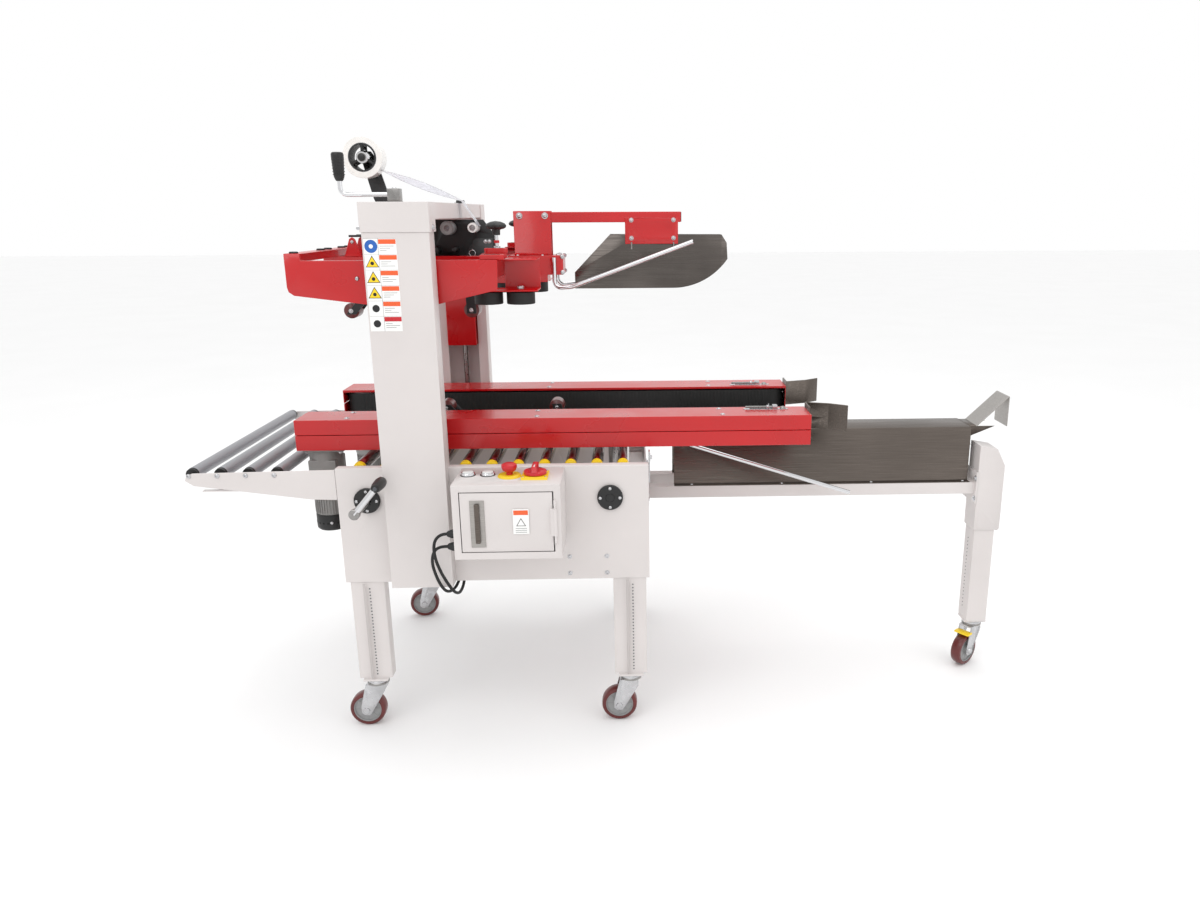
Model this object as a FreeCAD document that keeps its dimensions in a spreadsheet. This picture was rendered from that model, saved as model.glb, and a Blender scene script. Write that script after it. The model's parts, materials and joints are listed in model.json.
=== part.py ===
import FreeCAD, Part
import math
import os
import re
import Sketcher

# Side-belt carton sealer with an infeed table and a height-adjustable taping head.
# Millimetres. X runs along the carton's path, from outfeed (-X) to infeed (+X). Y = 0 in the
# machine's own drawings is its middle plane, and Z = 0 is the floor under the casters. Every
# sub-part is drawn in those machine coordinates and placed by shift_x and shift_y, which bring
# the middle of the whole machine's footprint to the origin.

DRIVING = {
    # where the machine's own coordinates sit in the model
    "shift_x": 18.5,
    "shift_y": 64,
    # side plates of the bed
    "plate_left": -778,
    "plate_right": 41,
    "plate_low": 438,
    "plate_top": 757,
    "plate_face": 379,
    "plate_gauge": 3,
    "plate_lip": 28,
    # columns, their caps and the beam across them
    "column_left": -645,
    "column_wide": 162,
    "column_face": 417,
    "column_deep": 56,
    "column_low": 436,
    "column_top": 1356,
    "column_lip": 31,
    "cap_top": 1427,
    "cap_over": 3,
    "beam_low": 1386,
    # mast lead screws
    "screw_x": -564,
    "screw_y": 391,
    "screw_radius": 8,
    "screw_low": 745,
    # height-adjustable legs
    "leg_wide": 90,
    "leg_deep": 39,
    "leg_gauge": 3,
    "leg_left_x": -722,
    "leg_right_x": -13,
    "leg_top": 600,
    "leg_low": 150,
    "leg_gap": 0.5,
    # single leg of the infeed table
    "post_x": 1073,
    "post_y": -58,
    "post_wide": 62,
    "post_deep": 70,
    # casters
    "wheel_radius": 50,
    "wheel_wide": 32,
    "caster_trail": 34,
    "stem_radius": 8,
    # bed and outfeed rollers
    "roller_radius": 16,
    "roller_z": 749,
    "roller_first": -724,
    "roller_pitch": 69.7,
    "roller_end": 348,
    "axle_radius": 4,
    "outfeed_first": -1154,
    "outfeed_pitch": 73,
    "outfeed_radius": 16,
    "outfeed_z": 742,
    "outfeed_end": 362,
    "arm_tip": -1166,
    # belt units
    "belt_left": -912,
    "belt_right": 491,
    "belt_low": 778,
    "belt_top": 862,
    "belt_seam": 820,
    "belt_inner": 155,
    "belt_outer": 270,
    "belt_axis_y": 204,
    "drive_x": -856,
    "idler_x": 435,
    "pulley_radius": 47,
    "belt_gauge": 4,
    "belt_wide": 62,
    # transverse screws that set the belt spacing
    "width_screw_x": -700,
    "width_guide_x": -62,
    "width_z": 670,
    "width_radius": 10,
    # taping head
    "head_side": 339,
    "head_low": 1177,
    "head_high": 1283,
    "head_left": -864,
    "head_right": -335,
    "slider_low": 975,
    # blade that tucks the leading flap
    "blade_left": -161,
    "blade_low": 1188,
    "blade_nose": 123,
    "blade_bend": 190,
    "blade_gauge": 1.5,
    # tape
    "tape_wide": 48,
    "tape_radius": 55,
    "tape_core": 38,
    "tape_x": -738,
    "tape_z": 1550,
    "apply_radius": 22,
    "pivot_radius": 5,
    # infeed table
    "trough_left": 122,
    "trough_right": 1018,
    "trough_half": 60,
    "trough_top": 770,
    "trough_low": 606,
    "rail_low": 570,
    "rail_inner": 45,
    "rail_outer": 85,
    "rail_right": 1033,
    # control box
    "box_left": -448,
    "box_right": -180,
    "box_front": 537,
    "box_low": 561,
    "box_top": 755,
    "box_gauge": 2,
    "door_rim": 20,
    "button_y": -446,
    "stop_y": -460,
    "switch_y": -468,
    "stop_x": -313,
    "switch_x": -247,
    "hinge_x": -194,
    "hinge_y": 543,
}

doc = FreeCAD.newDocument("carton_sealer")
sheet = doc.addObject("Spreadsheet::Sheet", "Dims")
for row, (alias, value) in enumerate(DRIVING.items(), start=1):
    sheet.set(f"A{row}", alias)
    sheet.set(f"B{row}", str(value))
    sheet.setAlias(f"B{row}", alias)
doc.recompute()

SUBPARTS = []
MIDDLE = ("0", "0", "0")


# ---------------------------------------------------------------- drawing helpers

def cell(text):
    """An expression with every alias in it looked up in the sheet."""
    return re.sub(r"[a-z][a-z_]*", lambda word: "Dims." + word[0] if word[0] in DRIVING else word[0],
                  str(text))


def bind(obj, prop, text):
    obj.setExpression(prop, cell(text))


def size(alias):
    """A driving dimension as a number, for the few shapes made with Part's own functions."""
    return float(sheet.get(alias))


def bind_place(obj, at):
    for axis, text in zip("xyz", at):
        bind(obj, f"Placement.Base.{axis}", text)


def block(at, dims):
    box = doc.addObject("Part::Box", "Block")
    for prop, text in zip(("Length", "Width", "Height"), dims):
        bind(box, prop, text)
    bind_place(box, at)
    return box


def span(x0, x1, y0, y1, z0, z1):
    """A block between two corners."""
    return block((x0, y0, z0), (f"({x1}) - ({x0})", f"({y1}) - ({y0})", f"({z1}) - ({z0})"))


AXES = {
    "x": FreeCAD.Rotation(FreeCAD.Vector(0, 1, 0), 90),
    "y": FreeCAD.Rotation(FreeCAD.Vector(1, 0, 0), -90),
    "z": FreeCAD.Rotation(),
}


def rod(at, radius, length, axis="z"):
    """A cylinder from at, length long towards the positive axis."""
    cylinder = doc.addObject("Part::Cylinder", "Rod")
    cylinder.Placement = FreeCAD.Placement(FreeCAD.Vector(), AXES[axis])
    bind(cylinder, "Radius", radius)
    bind(cylinder, "Height", length)
    bind_place(cylinder, at)
    return cylinder


def cone(at, radius, top_radius, length, axis="z"):
    taper = doc.addObject("Part::Cone", "Taper")
    taper.Placement = FreeCAD.Placement(FreeCAD.Vector(), AXES[axis])
    bind(taper, "Radius1", radius)
    bind(taper, "Radius2", top_radius)
    bind(taper, "Height", length)
    bind_place(taper, at)
    return taper


def fuse(*shapes):
    if len(shapes) == 1:
        return shapes[0]
    joined = doc.addObject("Part::MultiFuse", "Fuse")
    joined.Shapes = list(shapes)
    return joined


def cut(base, *tools):
    result = doc.addObject("Part::Cut", "Cut")
    result.Base = base
    result.Tool = fuse(*tools)
    return result


def group(*shapes):
    """Separate solids that share one sub-part."""
    compound = doc.addObject("Part::Compound", "Group")
    compound.Links = list(shapes)
    return compound


def ring(at, radius, bore, length, axis="z"):
    """A round piece with a bore right through it."""
    return cut(rod(at, radius, length, axis), rod(at, bore, length, axis))


def mirror(source):
    """The same piece on the far side of the middle plane."""
    copy = doc.addObject("Part::Mirroring", "Mirror")
    copy.Source = source
    copy.Base = FreeCAD.Vector(0, 0, 0)
    copy.Normal = FreeCAD.Vector(0, 1, 0)
    return copy


def feature(shape):
    made = doc.addObject("Part::Feature", "Shape")
    made.Shape = shape
    return made


def node(label, obj, at=MIDDLE, turn=0):
    """Name a finished sub-part and place it."""
    obj.Label = label
    obj.Placement = FreeCAD.Placement(FreeCAD.Vector(), FreeCAD.Rotation(FreeCAD.Vector(0, 0, 1), turn))
    bind_place(obj, (f"shift_x + {at[0]}", f"shift_y + {at[1]}", at[2]))
    SUBPARTS.append(obj)


# Each sketch plane: the axes its two coordinates run along, and the sign of its normal.
PLANES = {"XY_Plane": 1, "XZ_Plane": -1, "YZ_Plane": 1}


def body():
    return doc.addObject("PartDesign::Body", "Body")


def sketch(owner, plane, at="0"):
    """A sketch parallel to one of the body's own planes, at a distance along that axis."""
    drawn = owner.newObject("Sketcher::SketchObject", "Sketch")
    support = next(item for item in owner.Origin.OriginFeatures if item.Role == plane)
    drawn.AttachmentSupport = [(support, "")]
    drawn.MapMode = "FlatFace"
    bind(drawn, "AttachmentOffset.Base.z", f"{PLANES[plane]} * ({at})")
    return drawn


def fix(drawn, kind, element, point, start, text):
    """Hold one coordinate of a sketch point at an expression."""
    index = drawn.addConstraint(Sketcher.Constraint(kind, -1, 1, element, point, start))
    drawn.setExpression(f"Constraints[{index}]", cell(text))


def polygon(drawn, points):
    """Lines through points, drawn roughly first and then held at their expressions."""
    first = drawn.GeometryCount
    rough = [FreeCAD.Vector(10 + 7 * index, 5 + index ** 2, 0) for index in range(len(points))]
    for start, end in zip(rough, rough[1:] + rough[:1]):
        drawn.addGeometry(Part.LineSegment(start, end), False)
    for index, (u, v) in enumerate(points):
        following = (index + 1) % len(points)
        drawn.addConstraint(Sketcher.Constraint("Coincident", first + index, 2, first + following, 1))
        fix(drawn, "DistanceX", first + index, 1, rough[index].x, u)
        fix(drawn, "DistanceY", first + index, 1, rough[index].y, v)


def rectangle(drawn, u0, u1, v0, v1):
    polygon(drawn, [(u0, v0), (u1, v0), (u1, v1), (u0, v1)])


def circle(drawn, u, v, radius):
    index = drawn.addGeometry(Part.Circle(FreeCAD.Vector(10, 5, 0), FreeCAD.Vector(0, 0, 1), 3), False)
    fix(drawn, "DistanceX", index, 3, 10, u)
    fix(drawn, "DistanceY", index, 3, 5, v)
    held = drawn.addConstraint(Sketcher.Constraint("Radius", index, 3))
    drawn.setExpression(f"Constraints[{held}]", cell(radius))


def grow(owner, kind, drawn, plane, length, reverse=None):
    """A pad or pocket that runs towards the positive axis of its plane."""
    made = owner.newObject(f"PartDesign::{kind}", kind)
    made.Profile = drawn
    bind(made, "Length", length)
    towards_normal = PLANES[plane] > 0
    made.Reversed = not towards_normal if kind == "Pad" else towards_normal
    owner.Tip = made
    return made


def pad(owner, plane, at, length, draw):
    drawn = sketch(owner, plane, at)
    draw(drawn)
    return grow(owner, "Pad", drawn, plane, length)


def pocket(owner, plane, at, length, draw):
    drawn = sketch(owner, plane, at)
    draw(drawn)
    return grow(owner, "Pocket", drawn, plane, length)


def revolve(owner, plane, draw):
    """A solid turned about the plane's first axis, drawn above it."""
    drawn = sketch(owner, plane)
    draw(drawn)
    made = owner.newObject("PartDesign::Revolution", "Revolution")
    made.Profile = drawn
    made.ReferenceAxis = (drawn, ["H_Axis"])
    made.Angle = 360
    owner.Tip = made
    return made


def bent_wire(points, bends):
    """Straight runs joined by tangent arcs. bends holds one radius for each inner point."""
    places = [FreeCAD.Vector(*point) for point in points]
    edges = []
    last = places[0]
    for before, corner, after, radius in zip(places, places[1:], places[2:], bends):
        arriving = (before - corner).normalize()
        leaving = (after - corner).normalize()
        opening = arriving.getAngle(leaving)
        reach = radius / math.tan(opening / 2)
        start = corner + arriving * reach
        end = corner + leaving * reach
        middle_line = (arriving + leaving).normalize()
        centre = corner + middle_line * (radius / math.sin(opening / 2))
        middle = centre - middle_line * radius
        edges.append(Part.makeLine(last, start))
        edges.append(Part.Arc(start, middle, end).toShape())
        last = end
    edges.append(Part.makeLine(last, places[-1]))
    return Part.Wire(edges)


def swept_rod(points, bends, radius):
    """A round bar along a bent wire."""
    wire = bent_wire(points, bends)
    start = FreeCAD.Vector(*points[0])
    towards = FreeCAD.Vector(*points[1]) - start
    section = Part.Wire([Part.makeCircle(radius, start, towards)])
    bar = wire.makePipeShell([section], True, False)
    expected = math.pi * radius ** 2 * wire.Length
    if abs(bar.Volume - expected) > 0.02 * expected:
        raise ValueError(f"swept bar volume {bar.Volume:.0f}, expected {expected:.0f}")
    return bar


def hex_head(at, across, height, axis="z"):
    prism = doc.addObject("Part::Prism", "Hex")
    prism.Placement = FreeCAD.Placement(FreeCAD.Vector(), AXES[axis])
    prism.Polygon = 6
    bind(prism, "Circumradius", f"({across}) / 1.732")
    bind(prism, "Height", height)
    bind_place(prism, at)
    return prism


# ---------------------------------------------------------------- bed frame

SHAFTS = ("width_screw_x", "width_guide_x")
ROLLERS = range(11)
FULL_ROLLERS = (0, 1, 9, 10)


def roller_x(index):
    return f"roller_first + {index} * roller_pitch"


def side_plate_body():
    """Folded side plate: a web with a lip along its top and bottom, notched around the column."""
    plate = body()
    web_in = "-plate_face + plate_gauge"
    lip_in = "-plate_face + plate_lip"
    top_in = "plate_top - plate_gauge"
    low_in = "plate_low + plate_gauge"

    def profile(drawn):
        polygon(drawn, [
            ("-plate_face", "plate_low"), (lip_in, "plate_low"), (lip_in, low_in), (web_in, low_in),
            (web_in, top_in), (lip_in, top_in), (lip_in, "plate_top"), ("-plate_face", "plate_top"),
        ])

    pad(plate, "YZ_Plane", "plate_left", "plate_right - plate_left", profile)

    def shaft_holes(drawn):
        for x in SHAFTS:
            circle(drawn, x, "width_z", "width_radius + 1.5")

    pocket(plate, "XZ_Plane", "-plate_face - 1", "plate_gauge + 2", shaft_holes)

    def column_notch(drawn):
        rectangle(drawn, "column_left + column_lip", "column_left + column_wide - column_lip",
                  "plate_top - plate_gauge - 1", "plate_top + 1")

    pocket(plate, "XZ_Plane", "-column_face", "column_deep + 0.5", column_notch)

    def leg_clearance(drawn):
        for x in ("leg_left_x", "leg_right_x"):
            rectangle(drawn, f"{x} - leg_wide / 2 - 1", f"{x} + leg_wide / 2 + 1",
                      "-plate_face + plate_gauge", "-plate_face + plate_lip + 1")

    pocket(plate, "XY_Plane", "plate_low - 1", "plate_gauge + 2", leg_clearance)
    return plate


def side_plates():
    front = side_plate_body()
    node("side_plates", group(front, mirror(front)))


def bed_cross_members():
    """Cross tubes, the walls that carry the short rollers, the end plate and the guide shaft."""
    inside = "plate_face - plate_gauge"
    tubes = []
    for x in ("-630", "-160"):
        tube = span(x, f"{x} + 40", f"-({inside})", inside, "460", "500")
        hollow = span(f"{x} + 3", f"{x} + 37", f"-({inside})", inside, "463", "497")
        tubes.append(cut(tube, hollow))
    walls = []
    for side in ("52", "-56"):
        walls.append(span("-625", "-126", side, f"{side} + 4", "500", "755"))
    end_plate = span("plate_right - 5", "plate_right", f"-({inside}) + 2", f"{inside} - 2", "562", "640")
    guide_shaft = rod(("width_guide_x", f"-({inside})", "width_z"), "width_radius", f"2 * ({inside})", "y")
    junction_box = span("-500", "-440", "-330", "-270", "446", "500")
    walls_open = [cut(wall, *axle_holes()) for wall in walls]
    node("bed_cross_members", group(*tubes, *walls_open, end_plate, guide_shaft, junction_box))


def axle_holes():
    """Clearance for the short rollers' axles in one of the walls between them."""
    holes = []
    for index in ROLLERS:
        if index not in FULL_ROLLERS:
            holes.append(rod((roller_x(index), "-60", "roller_z"), "axle_radius + 0.3", "120", "y"))
    return holes


def roller_shell(x, y0, y1, z, radius, cap):
    """A thin tube with a bearing cap pressed into each end, open for its axle."""
    length = f"({y1}) - ({y0})"
    tube = ring((x, f"({y0}) + {cap}", z), radius, f"{radius} - 2", f"{length} - 2 * {cap}", "y")
    near = ring((x, y0, z), f"{radius} - 1", "axle_radius + 0.05", cap, "y")
    far = ring((x, f"({y1}) - {cap}", z), f"{radius} - 1", "axle_radius + 0.05", cap, "y")
    return [near, tube, far]


def bed_rollers():
    """Rollers of the bed. Those beside the lower taping unit are short, one each side of it."""
    pieces = []
    for index in ROLLERS:
        x = roller_x(index)
        if index in FULL_ROLLERS:
            pieces += roller_shell(x, "-roller_end", "roller_end", "roller_z", "roller_radius", "12")
        else:
            pieces += roller_shell(x, "-roller_end", "-62", "roller_z", "roller_radius", "12")
            pieces += roller_shell(x, "62", "roller_end", "roller_z", "roller_radius", "12")
    node("bed_rollers", group(*pieces))


def roller_axles():
    """Fixed axles: right across the bed, short ones beside the taping unit, and the outfeed's."""
    inside = "plate_face - plate_gauge"
    axles = []
    for index in ROLLERS:
        x = roller_x(index)
        if index in FULL_ROLLERS:
            axles.append(rod((x, f"-({inside})", "roller_z"), "axle_radius", f"2 * ({inside})", "y"))
        else:
            for y0 in (f"-({inside})", "52"):
                axles.append(rod((x, y0, "roller_z"), "axle_radius", f"{inside} - 52", "y"))
    for index in range(4):
        x = f"outfeed_first + {index} * outfeed_pitch"
        axles.append(rod((x, f"-({inside})", "outfeed_z"), "axle_radius", f"2 * ({inside})", "y"))
    node("roller_axles", group(*axles))


def outfeed_arms():
    """Tapered arms that carry the outfeed rollers beyond the bed."""
    arms = []
    for y0 in ("-plate_face", "plate_face - plate_gauge"):
        arm = body()

        def outline(drawn):
            polygon(drawn, [
                ("plate_left - 1", "plate_top - 3"), ("arm_tip + 22", "plate_top - 8"),
                ("arm_tip + 6", "plate_top - 14"), ("arm_tip", "plate_top - 28"),
                ("arm_tip + 22", "plate_top - 42"), ("plate_left - 66", "674"), ("plate_left - 1", "672"),
            ])

        pad(arm, "XZ_Plane", y0, "plate_gauge", outline)
        arms.append(arm)
    for y0 in ("-plate_face + plate_gauge", "plate_face - plate_gauge - 14"):
        arms.append(span("arm_tip + 40", "plate_left - 1", y0, f"({y0}) + 14", "698", "701"))
    node("outfeed_arms", group(fuse(arms[0], arms[2]), fuse(arms[1], arms[3])))


def outfeed_rollers():
    for index in range(4):
        x = f"outfeed_first + {index} * outfeed_pitch"
        pieces = roller_shell(x, "-outfeed_end", "outfeed_end", "outfeed_z", "outfeed_radius", "10")
        node(f"outfeed_roller_{index + 1}", group(*pieces))


def shaft_flanges():
    """Round bearing flanges of the two transverse shafts, on both side plates."""
    flanges = []
    for x in SHAFTS:
        for y0 in ("-plate_face - 10", "plate_face"):
            flanges.append(ring((x, y0, "width_z"), "34", "width_radius + 0.05", "10", "y"))
    return flanges


# ---------------------------------------------------------------- mast

def columns():
    """Two folded columns, open towards each other, that stand on the side plates' outer faces."""
    column = body()
    web_in = "-column_face + plate_gauge"
    back = "-column_face + column_deep"
    right = "column_left + column_wide"

    def profile(drawn):
        polygon(drawn, [
            ("column_left", "-column_face"), (right, "-column_face"), (right, back),
            (f"{right} - column_lip", back), (f"{right} - column_lip", f"{back} - plate_gauge"),
            (f"{right} - plate_gauge", f"{back} - plate_gauge"), (f"{right} - plate_gauge", web_in),
            ("column_left + plate_gauge", web_in), ("column_left + plate_gauge", f"{back} - plate_gauge"),
            ("column_left + column_lip", f"{back} - plate_gauge"), ("column_left + column_lip", back),
            ("column_left", back),
        ])

    pad(column, "XY_Plane", "column_low", "column_top - column_low", profile)

    def foot(drawn):
        rectangle(drawn, "column_left - 1", f"{right} + 1", "-plate_face", f"{back} + 1")

    pocket(column, "XY_Plane", "column_low - 1", "plate_top - column_low + 1", foot)
    foot_plate = span("column_left + 12", f"{right} - 12", web_in, "-plate_face", "column_low",
                      "column_low + 4")
    screw_rest = span("column_left + plate_gauge", f"{right} - plate_gauge", web_in, "-plate_face",
                      "screw_low - 16", "screw_low - 4")
    footing = cut(screw_rest, rod(("screw_x", "-screw_y", "screw_low - 20"), "screw_radius - 1.95", "30"))
    near = fuse(column, foot_plate, footing)
    node("columns", group(near, mirror(near)))


def top_beam():
    """The beam across the columns with a cap over each of them."""
    right = "column_left + column_wide"
    caps = []
    for sign in ("-1", "1"):
        outer = f"{sign} * (column_face + cap_over)"
        inner = f"{sign} * (column_face - column_deep - 12)"
        low_y, high_y = (outer, inner) if sign == "-1" else (inner, outer)
        caps.append(span("column_left - cap_over", f"{right} + cap_over", low_y, high_y, "column_top",
                         "cap_top"))
    beam = span("column_left", right, "-column_face + 60", "column_face - 60", "beam_low", "cap_top")
    outline = fuse(*caps, beam)
    hollow = span("column_left + 3", f"{right} - 3", "-column_face", "column_face", "beam_low - 1",
                  "cap_top - 3")
    under_caps = []
    for sign in ("-1", "1"):
        outer = f"{sign} * column_face"
        inner = f"{sign} * (column_face - column_deep - 9)"
        low_y, high_y = (outer, inner) if sign == "-1" else (inner, outer)
        under_caps.append(span("column_left", right, low_y, high_y, "column_top + 8", "cap_top - 3"))
    bores = []
    for y in ("-screw_y", "screw_y"):
        bores.append(rod(("screw_x", y, "column_top - 5"), "screw_radius + 0.05", "100"))
    node("top_beam", cut(outline, hollow, *under_caps, *bores))


def tape_roll_arm():
    """Arm on the beam's outfeed side that carries the upper roll of tape on a stub."""
    arm = body()

    def outline(drawn):
        polygon(drawn, [
            ("tape_x - 20", "tape_z + 6"), ("tape_x - 8", "tape_z + 20"), ("tape_x + 10", "tape_z + 19"),
            ("tape_x + 22", "tape_z + 2"), ("tape_x + 52", "tape_z - 104"),
            ("column_left - 1", "tape_z - 118"),
            ("column_left - 1", "beam_low + 4"), ("tape_x + 30", "beam_low + 4"),
            ("tape_x + 8", "tape_z - 110"),
        ])

    pad(arm, "XZ_Plane", "30", "6", outline)
    foot = span("column_left - 6", "column_left", "14", "52", "beam_low + 4", "cap_top - 1")
    stub = rod(("tape_x", "-30", "tape_z"), "10", "60", "y")
    node("tape_roll_arm", fuse(arm, foot, stub))


def mast_screws():
    """Threaded spindles that lift the head, one in each column. The front one carries the crank."""
    for label, y in (("front_lead_screw", "-screw_y"), ("rear_lead_screw", "screw_y")):
        thread = rod(("screw_x", y, "screw_low"), "screw_radius", "cap_top + 6 - screw_low")
        journal = rod(("screw_x", y, "screw_low - 14"), "screw_radius - 2", "14")
        node(label, fuse(thread, journal))


def mast_crank():
    """Crank on the front screw: a square hub, a bent arm and an upright grip."""
    hub = cut(span("screw_x - 15", "screw_x + 15", "-screw_y - 15", "-screw_y + 15", "cap_top + 1",
                   "cap_top + 31"),
              rod(("screw_x", "-screw_y", "cap_top"), "screw_radius", "6"))
    reach = size("screw_x") - 128
    arm_z = size("cap_top") + 17
    y = -size("screw_y")
    arm = feature(swept_rod(
        [(size("screw_x") - 10, y, arm_z), (reach, y, arm_z), (reach, y, arm_z + 92)], [16], 5.5))
    grip = body()

    def profile(drawn):
        polygon(drawn, [("0", "6"), ("6", "12"), ("60", "15"), ("68", "10"), ("70", "0"), ("0", "0")])

    revolve(grip, "XZ_Plane", profile)
    grip.Placement = FreeCAD.Placement(FreeCAD.Vector(), FreeCAD.Rotation(FreeCAD.Vector(0, 1, 0), -90))
    bind_place(grip, ("screw_x - 128", "-screw_y", "cap_top + 48"))
    node("mast_crank", fuse(hub, arm, grip))


# ---------------------------------------------------------------- legs and casters

LEGS = {
    1: ("leg_left_x", "-plate_face + plate_gauge + leg_gap + leg_deep / 2"),
    2: ("leg_right_x", "-plate_face + plate_gauge + leg_gap + leg_deep / 2"),
    3: ("leg_left_x", "plate_face - plate_gauge - leg_gap - leg_deep / 2"),
    4: ("leg_right_x", "plate_face - plate_gauge - leg_gap - leg_deep / 2"),
    5: ("post_x", "post_y"),
}
SWIVEL = {1: 0, 2: 0, 3: 8, 4: 75, 5: 38}


def leg_tube(x, y, wide, deep, low, high):
    outer = span(f"{x} - {wide} / 2", f"{x} + {wide} / 2", f"{y} - {deep} / 2", f"{y} + {deep} / 2", low,
                 high)
    inner = span(f"{x} - {wide} / 2 + leg_gauge", f"{x} + {wide} / 2 - leg_gauge",
                 f"{y} - {deep} / 2 + leg_gauge", f"{y} + {deep} / 2 - leg_gauge", f"{low} + 8",
                 f"{high} + 1")
    plate = span(f"{x} - 34", f"{x} + 34", f"{y} - 30", f"{y} + 30", f"{low} - 6", low)
    pin = rod((x, y, f"{low} - 24"), "stem_radius", "19")
    return fuse(cut(outer, inner), plate, pin)


def leg_tubes():
    """Four legs in the corners of the bed and one under the infeed table, all at one height."""
    legs = []
    for index, (x, y) in LEGS.items():
        wide, deep = ("post_wide", "post_deep") if index == 5 else ("leg_wide", "leg_deep")
        legs.append(leg_tube(x, f"({y})", wide, deep, "leg_low", "leg_top"))
    node("leg_tubes", group(*legs))


def caster_fork():
    """Swivel head and two cheeks, drawn with the swivel axis at the origin and the floor at Z = 0."""
    head = cut(rod(("0", "0", "leg_low - 21"), "28", "14.5"),
               rod(("0", "0", "leg_low - 30"), "stem_radius + 0.05", "40"))
    crown = cut(span("-caster_trail + 2", "20", "-22", "22", "leg_low - 26", "leg_low - 21"),
                rod(("0", "0", "leg_low - 30"), "stem_radius + 1", "40"))
    cheeks = []
    for y0 in ("-22", "19"):
        cheek = body()

        def outline(drawn):
            polygon(drawn, [
                ("20", "leg_low - 21"), ("-caster_trail + 2", "leg_low - 21"), ("-caster_trail - 15", "62"),
                ("-caster_trail - 15", "42"), ("-caster_trail - 7", "34"), ("-caster_trail + 8", "34"),
                ("-caster_trail + 16", "46"), ("20", "leg_low - 40"),
            ])

        pad(cheek, "XZ_Plane", y0, "3", outline)
        cheeks.append(cheek)
    axle = rod(("-caster_trail", "-26", "wheel_radius"), "6", "52", "y")
    nuts = [hex_head(("-caster_trail", y0, "wheel_radius"), "17", "5", "y") for y0 in ("-27", "22")]
    return fuse(head, crown, *cheeks, axle, *nuts)


def caster_wheel():
    """Tyred wheel on a plastic hub, turned about its axle."""
    wheel = body()

    def profile(drawn):
        polygon(drawn, [
            ("-18", "6.05"), ("18", "6.05"), ("18", "13"), ("10", "15"), ("10", "34"), ("14", "36"),
            ("wheel_wide / 2", "39"), ("wheel_wide / 2", "wheel_radius - 5"),
            ("wheel_wide / 2 - 5", "wheel_radius"),
            ("5 - wheel_wide / 2", "wheel_radius"), ("-wheel_wide / 2", "wheel_radius - 5"),
            ("-wheel_wide / 2", "39"), ("-14", "36"), ("-10", "34"), ("-10", "15"), ("-18", "13"),
        ])

    revolve(wheel, "XZ_Plane", profile)
    wheel.Placement = FreeCAD.Placement(FreeCAD.Vector(), FreeCAD.Rotation(FreeCAD.Vector(0, 0, 1), 90))
    bind_place(wheel, ("-caster_trail", "0", "wheel_radius"))
    return group(wheel)


def casters():
    for index, (x, y) in LEGS.items():
        node(f"caster_fork_{index}", caster_fork(), (x, f"({y})", "0"), SWIVEL[index])
        node(f"caster_wheel_{index}", caster_wheel(), (x, f"({y})", "0"), SWIVEL[index])


# ---------------------------------------------------------------- belt units

def belt_cover(low, high):
    """Half of the belt's guard: an outer wall, a top or bottom plate and two ends."""
    shell = span("belt_left", "belt_right", "-belt_outer", "-belt_inner", low, high)
    room_low = "belt_low + 3" if low == "belt_low" else f"({low}) - 1"
    room_high = "belt_top - 3" if high == "belt_top" else f"({high}) + 1"
    room = span("belt_left + 3", "belt_right - 3", "-belt_outer + 3", "-belt_inner - 3", room_low,
                room_high)
    window_low = room_low if low != "belt_low" else "belt_low + 7"
    window_high = room_high if high != "belt_top" else "belt_top - 7"
    window = span("belt_left + 3", "belt_right - 3", "-belt_inner - 4", "-belt_inner + 1", window_low,
                  window_high)
    return cut(shell, room, window)


def belt_housing_body():
    """Both covers, the idler pulley and the two brackets that hang on the transverse shafts."""
    upper = belt_cover("belt_seam + 0.75", "belt_top")
    lower = belt_cover("belt_low", "belt_seam - 0.75")
    idler = rod(("idler_x", "-belt_axis_y", "belt_low + 11"), "pulley_radius", "62")
    idler_pin = rod(("idler_x", "-belt_axis_y", "belt_low + 2"), "10", "9")
    hangers = []
    for x, riser_x in zip(SHAFTS, ("roller_first + roller_pitch / 2", "width_guide_x")):
        riser = span(f"{riser_x} - 6", f"{riser_x} + 6", "-belt_axis_y - 25", "-belt_axis_y + 25",
                     "width_z + 18", "belt_low")
        nut = span(f"{x} - 18", f"{x} + 18", "-belt_axis_y - 25", "-belt_axis_y + 25", "width_z - 20",
                   "width_z + 22")
        bore = rod((x, "-belt_axis_y - 30", "width_z"), "width_radius + 0.05", "60", "y")
        hangers.append(cut(fuse(riser, nut), bore))
    opening = rod(("drive_x", "-belt_axis_y", "belt_low - 1"), "12", "6")
    guide = entry_guide()
    return group(upper, fuse(cut(lower, opening), idler, idler_pin, *hangers, guide))


def entry_guide():
    """Bent plate on the infeed end that leads a carton in between the belts."""
    plate = body()

    def plan(drawn):
        polygon(drawn, [
            ("belt_right", "-belt_inner - 4"), ("belt_right + 66", "-belt_inner - 26"),
            ("belt_right + 112", "-belt_inner - 58"), ("belt_right + 112", "-belt_inner - 62"),
            ("belt_right + 65", "-belt_inner - 29"), ("belt_right + 4", "-belt_inner - 9"),
            ("belt_right + 4", "-belt_outer + 40"), ("belt_right", "-belt_outer + 40"),
        ])

    pad(plate, "XY_Plane", "belt_seam - 20", "76", plan)
    gusset = body()

    def shelf(drawn):
        polygon(drawn, [
            ("belt_right + 2", "-belt_inner - 7"), ("belt_right + 62", "-belt_inner - 27"),
            ("belt_right + 20", "-belt_inner - 62"), ("belt_right + 2", "-belt_inner - 68"),
        ])

    pad(gusset, "XY_Plane", "belt_seam + 12", "3", shelf)
    return fuse(plate, gusset)


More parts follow.
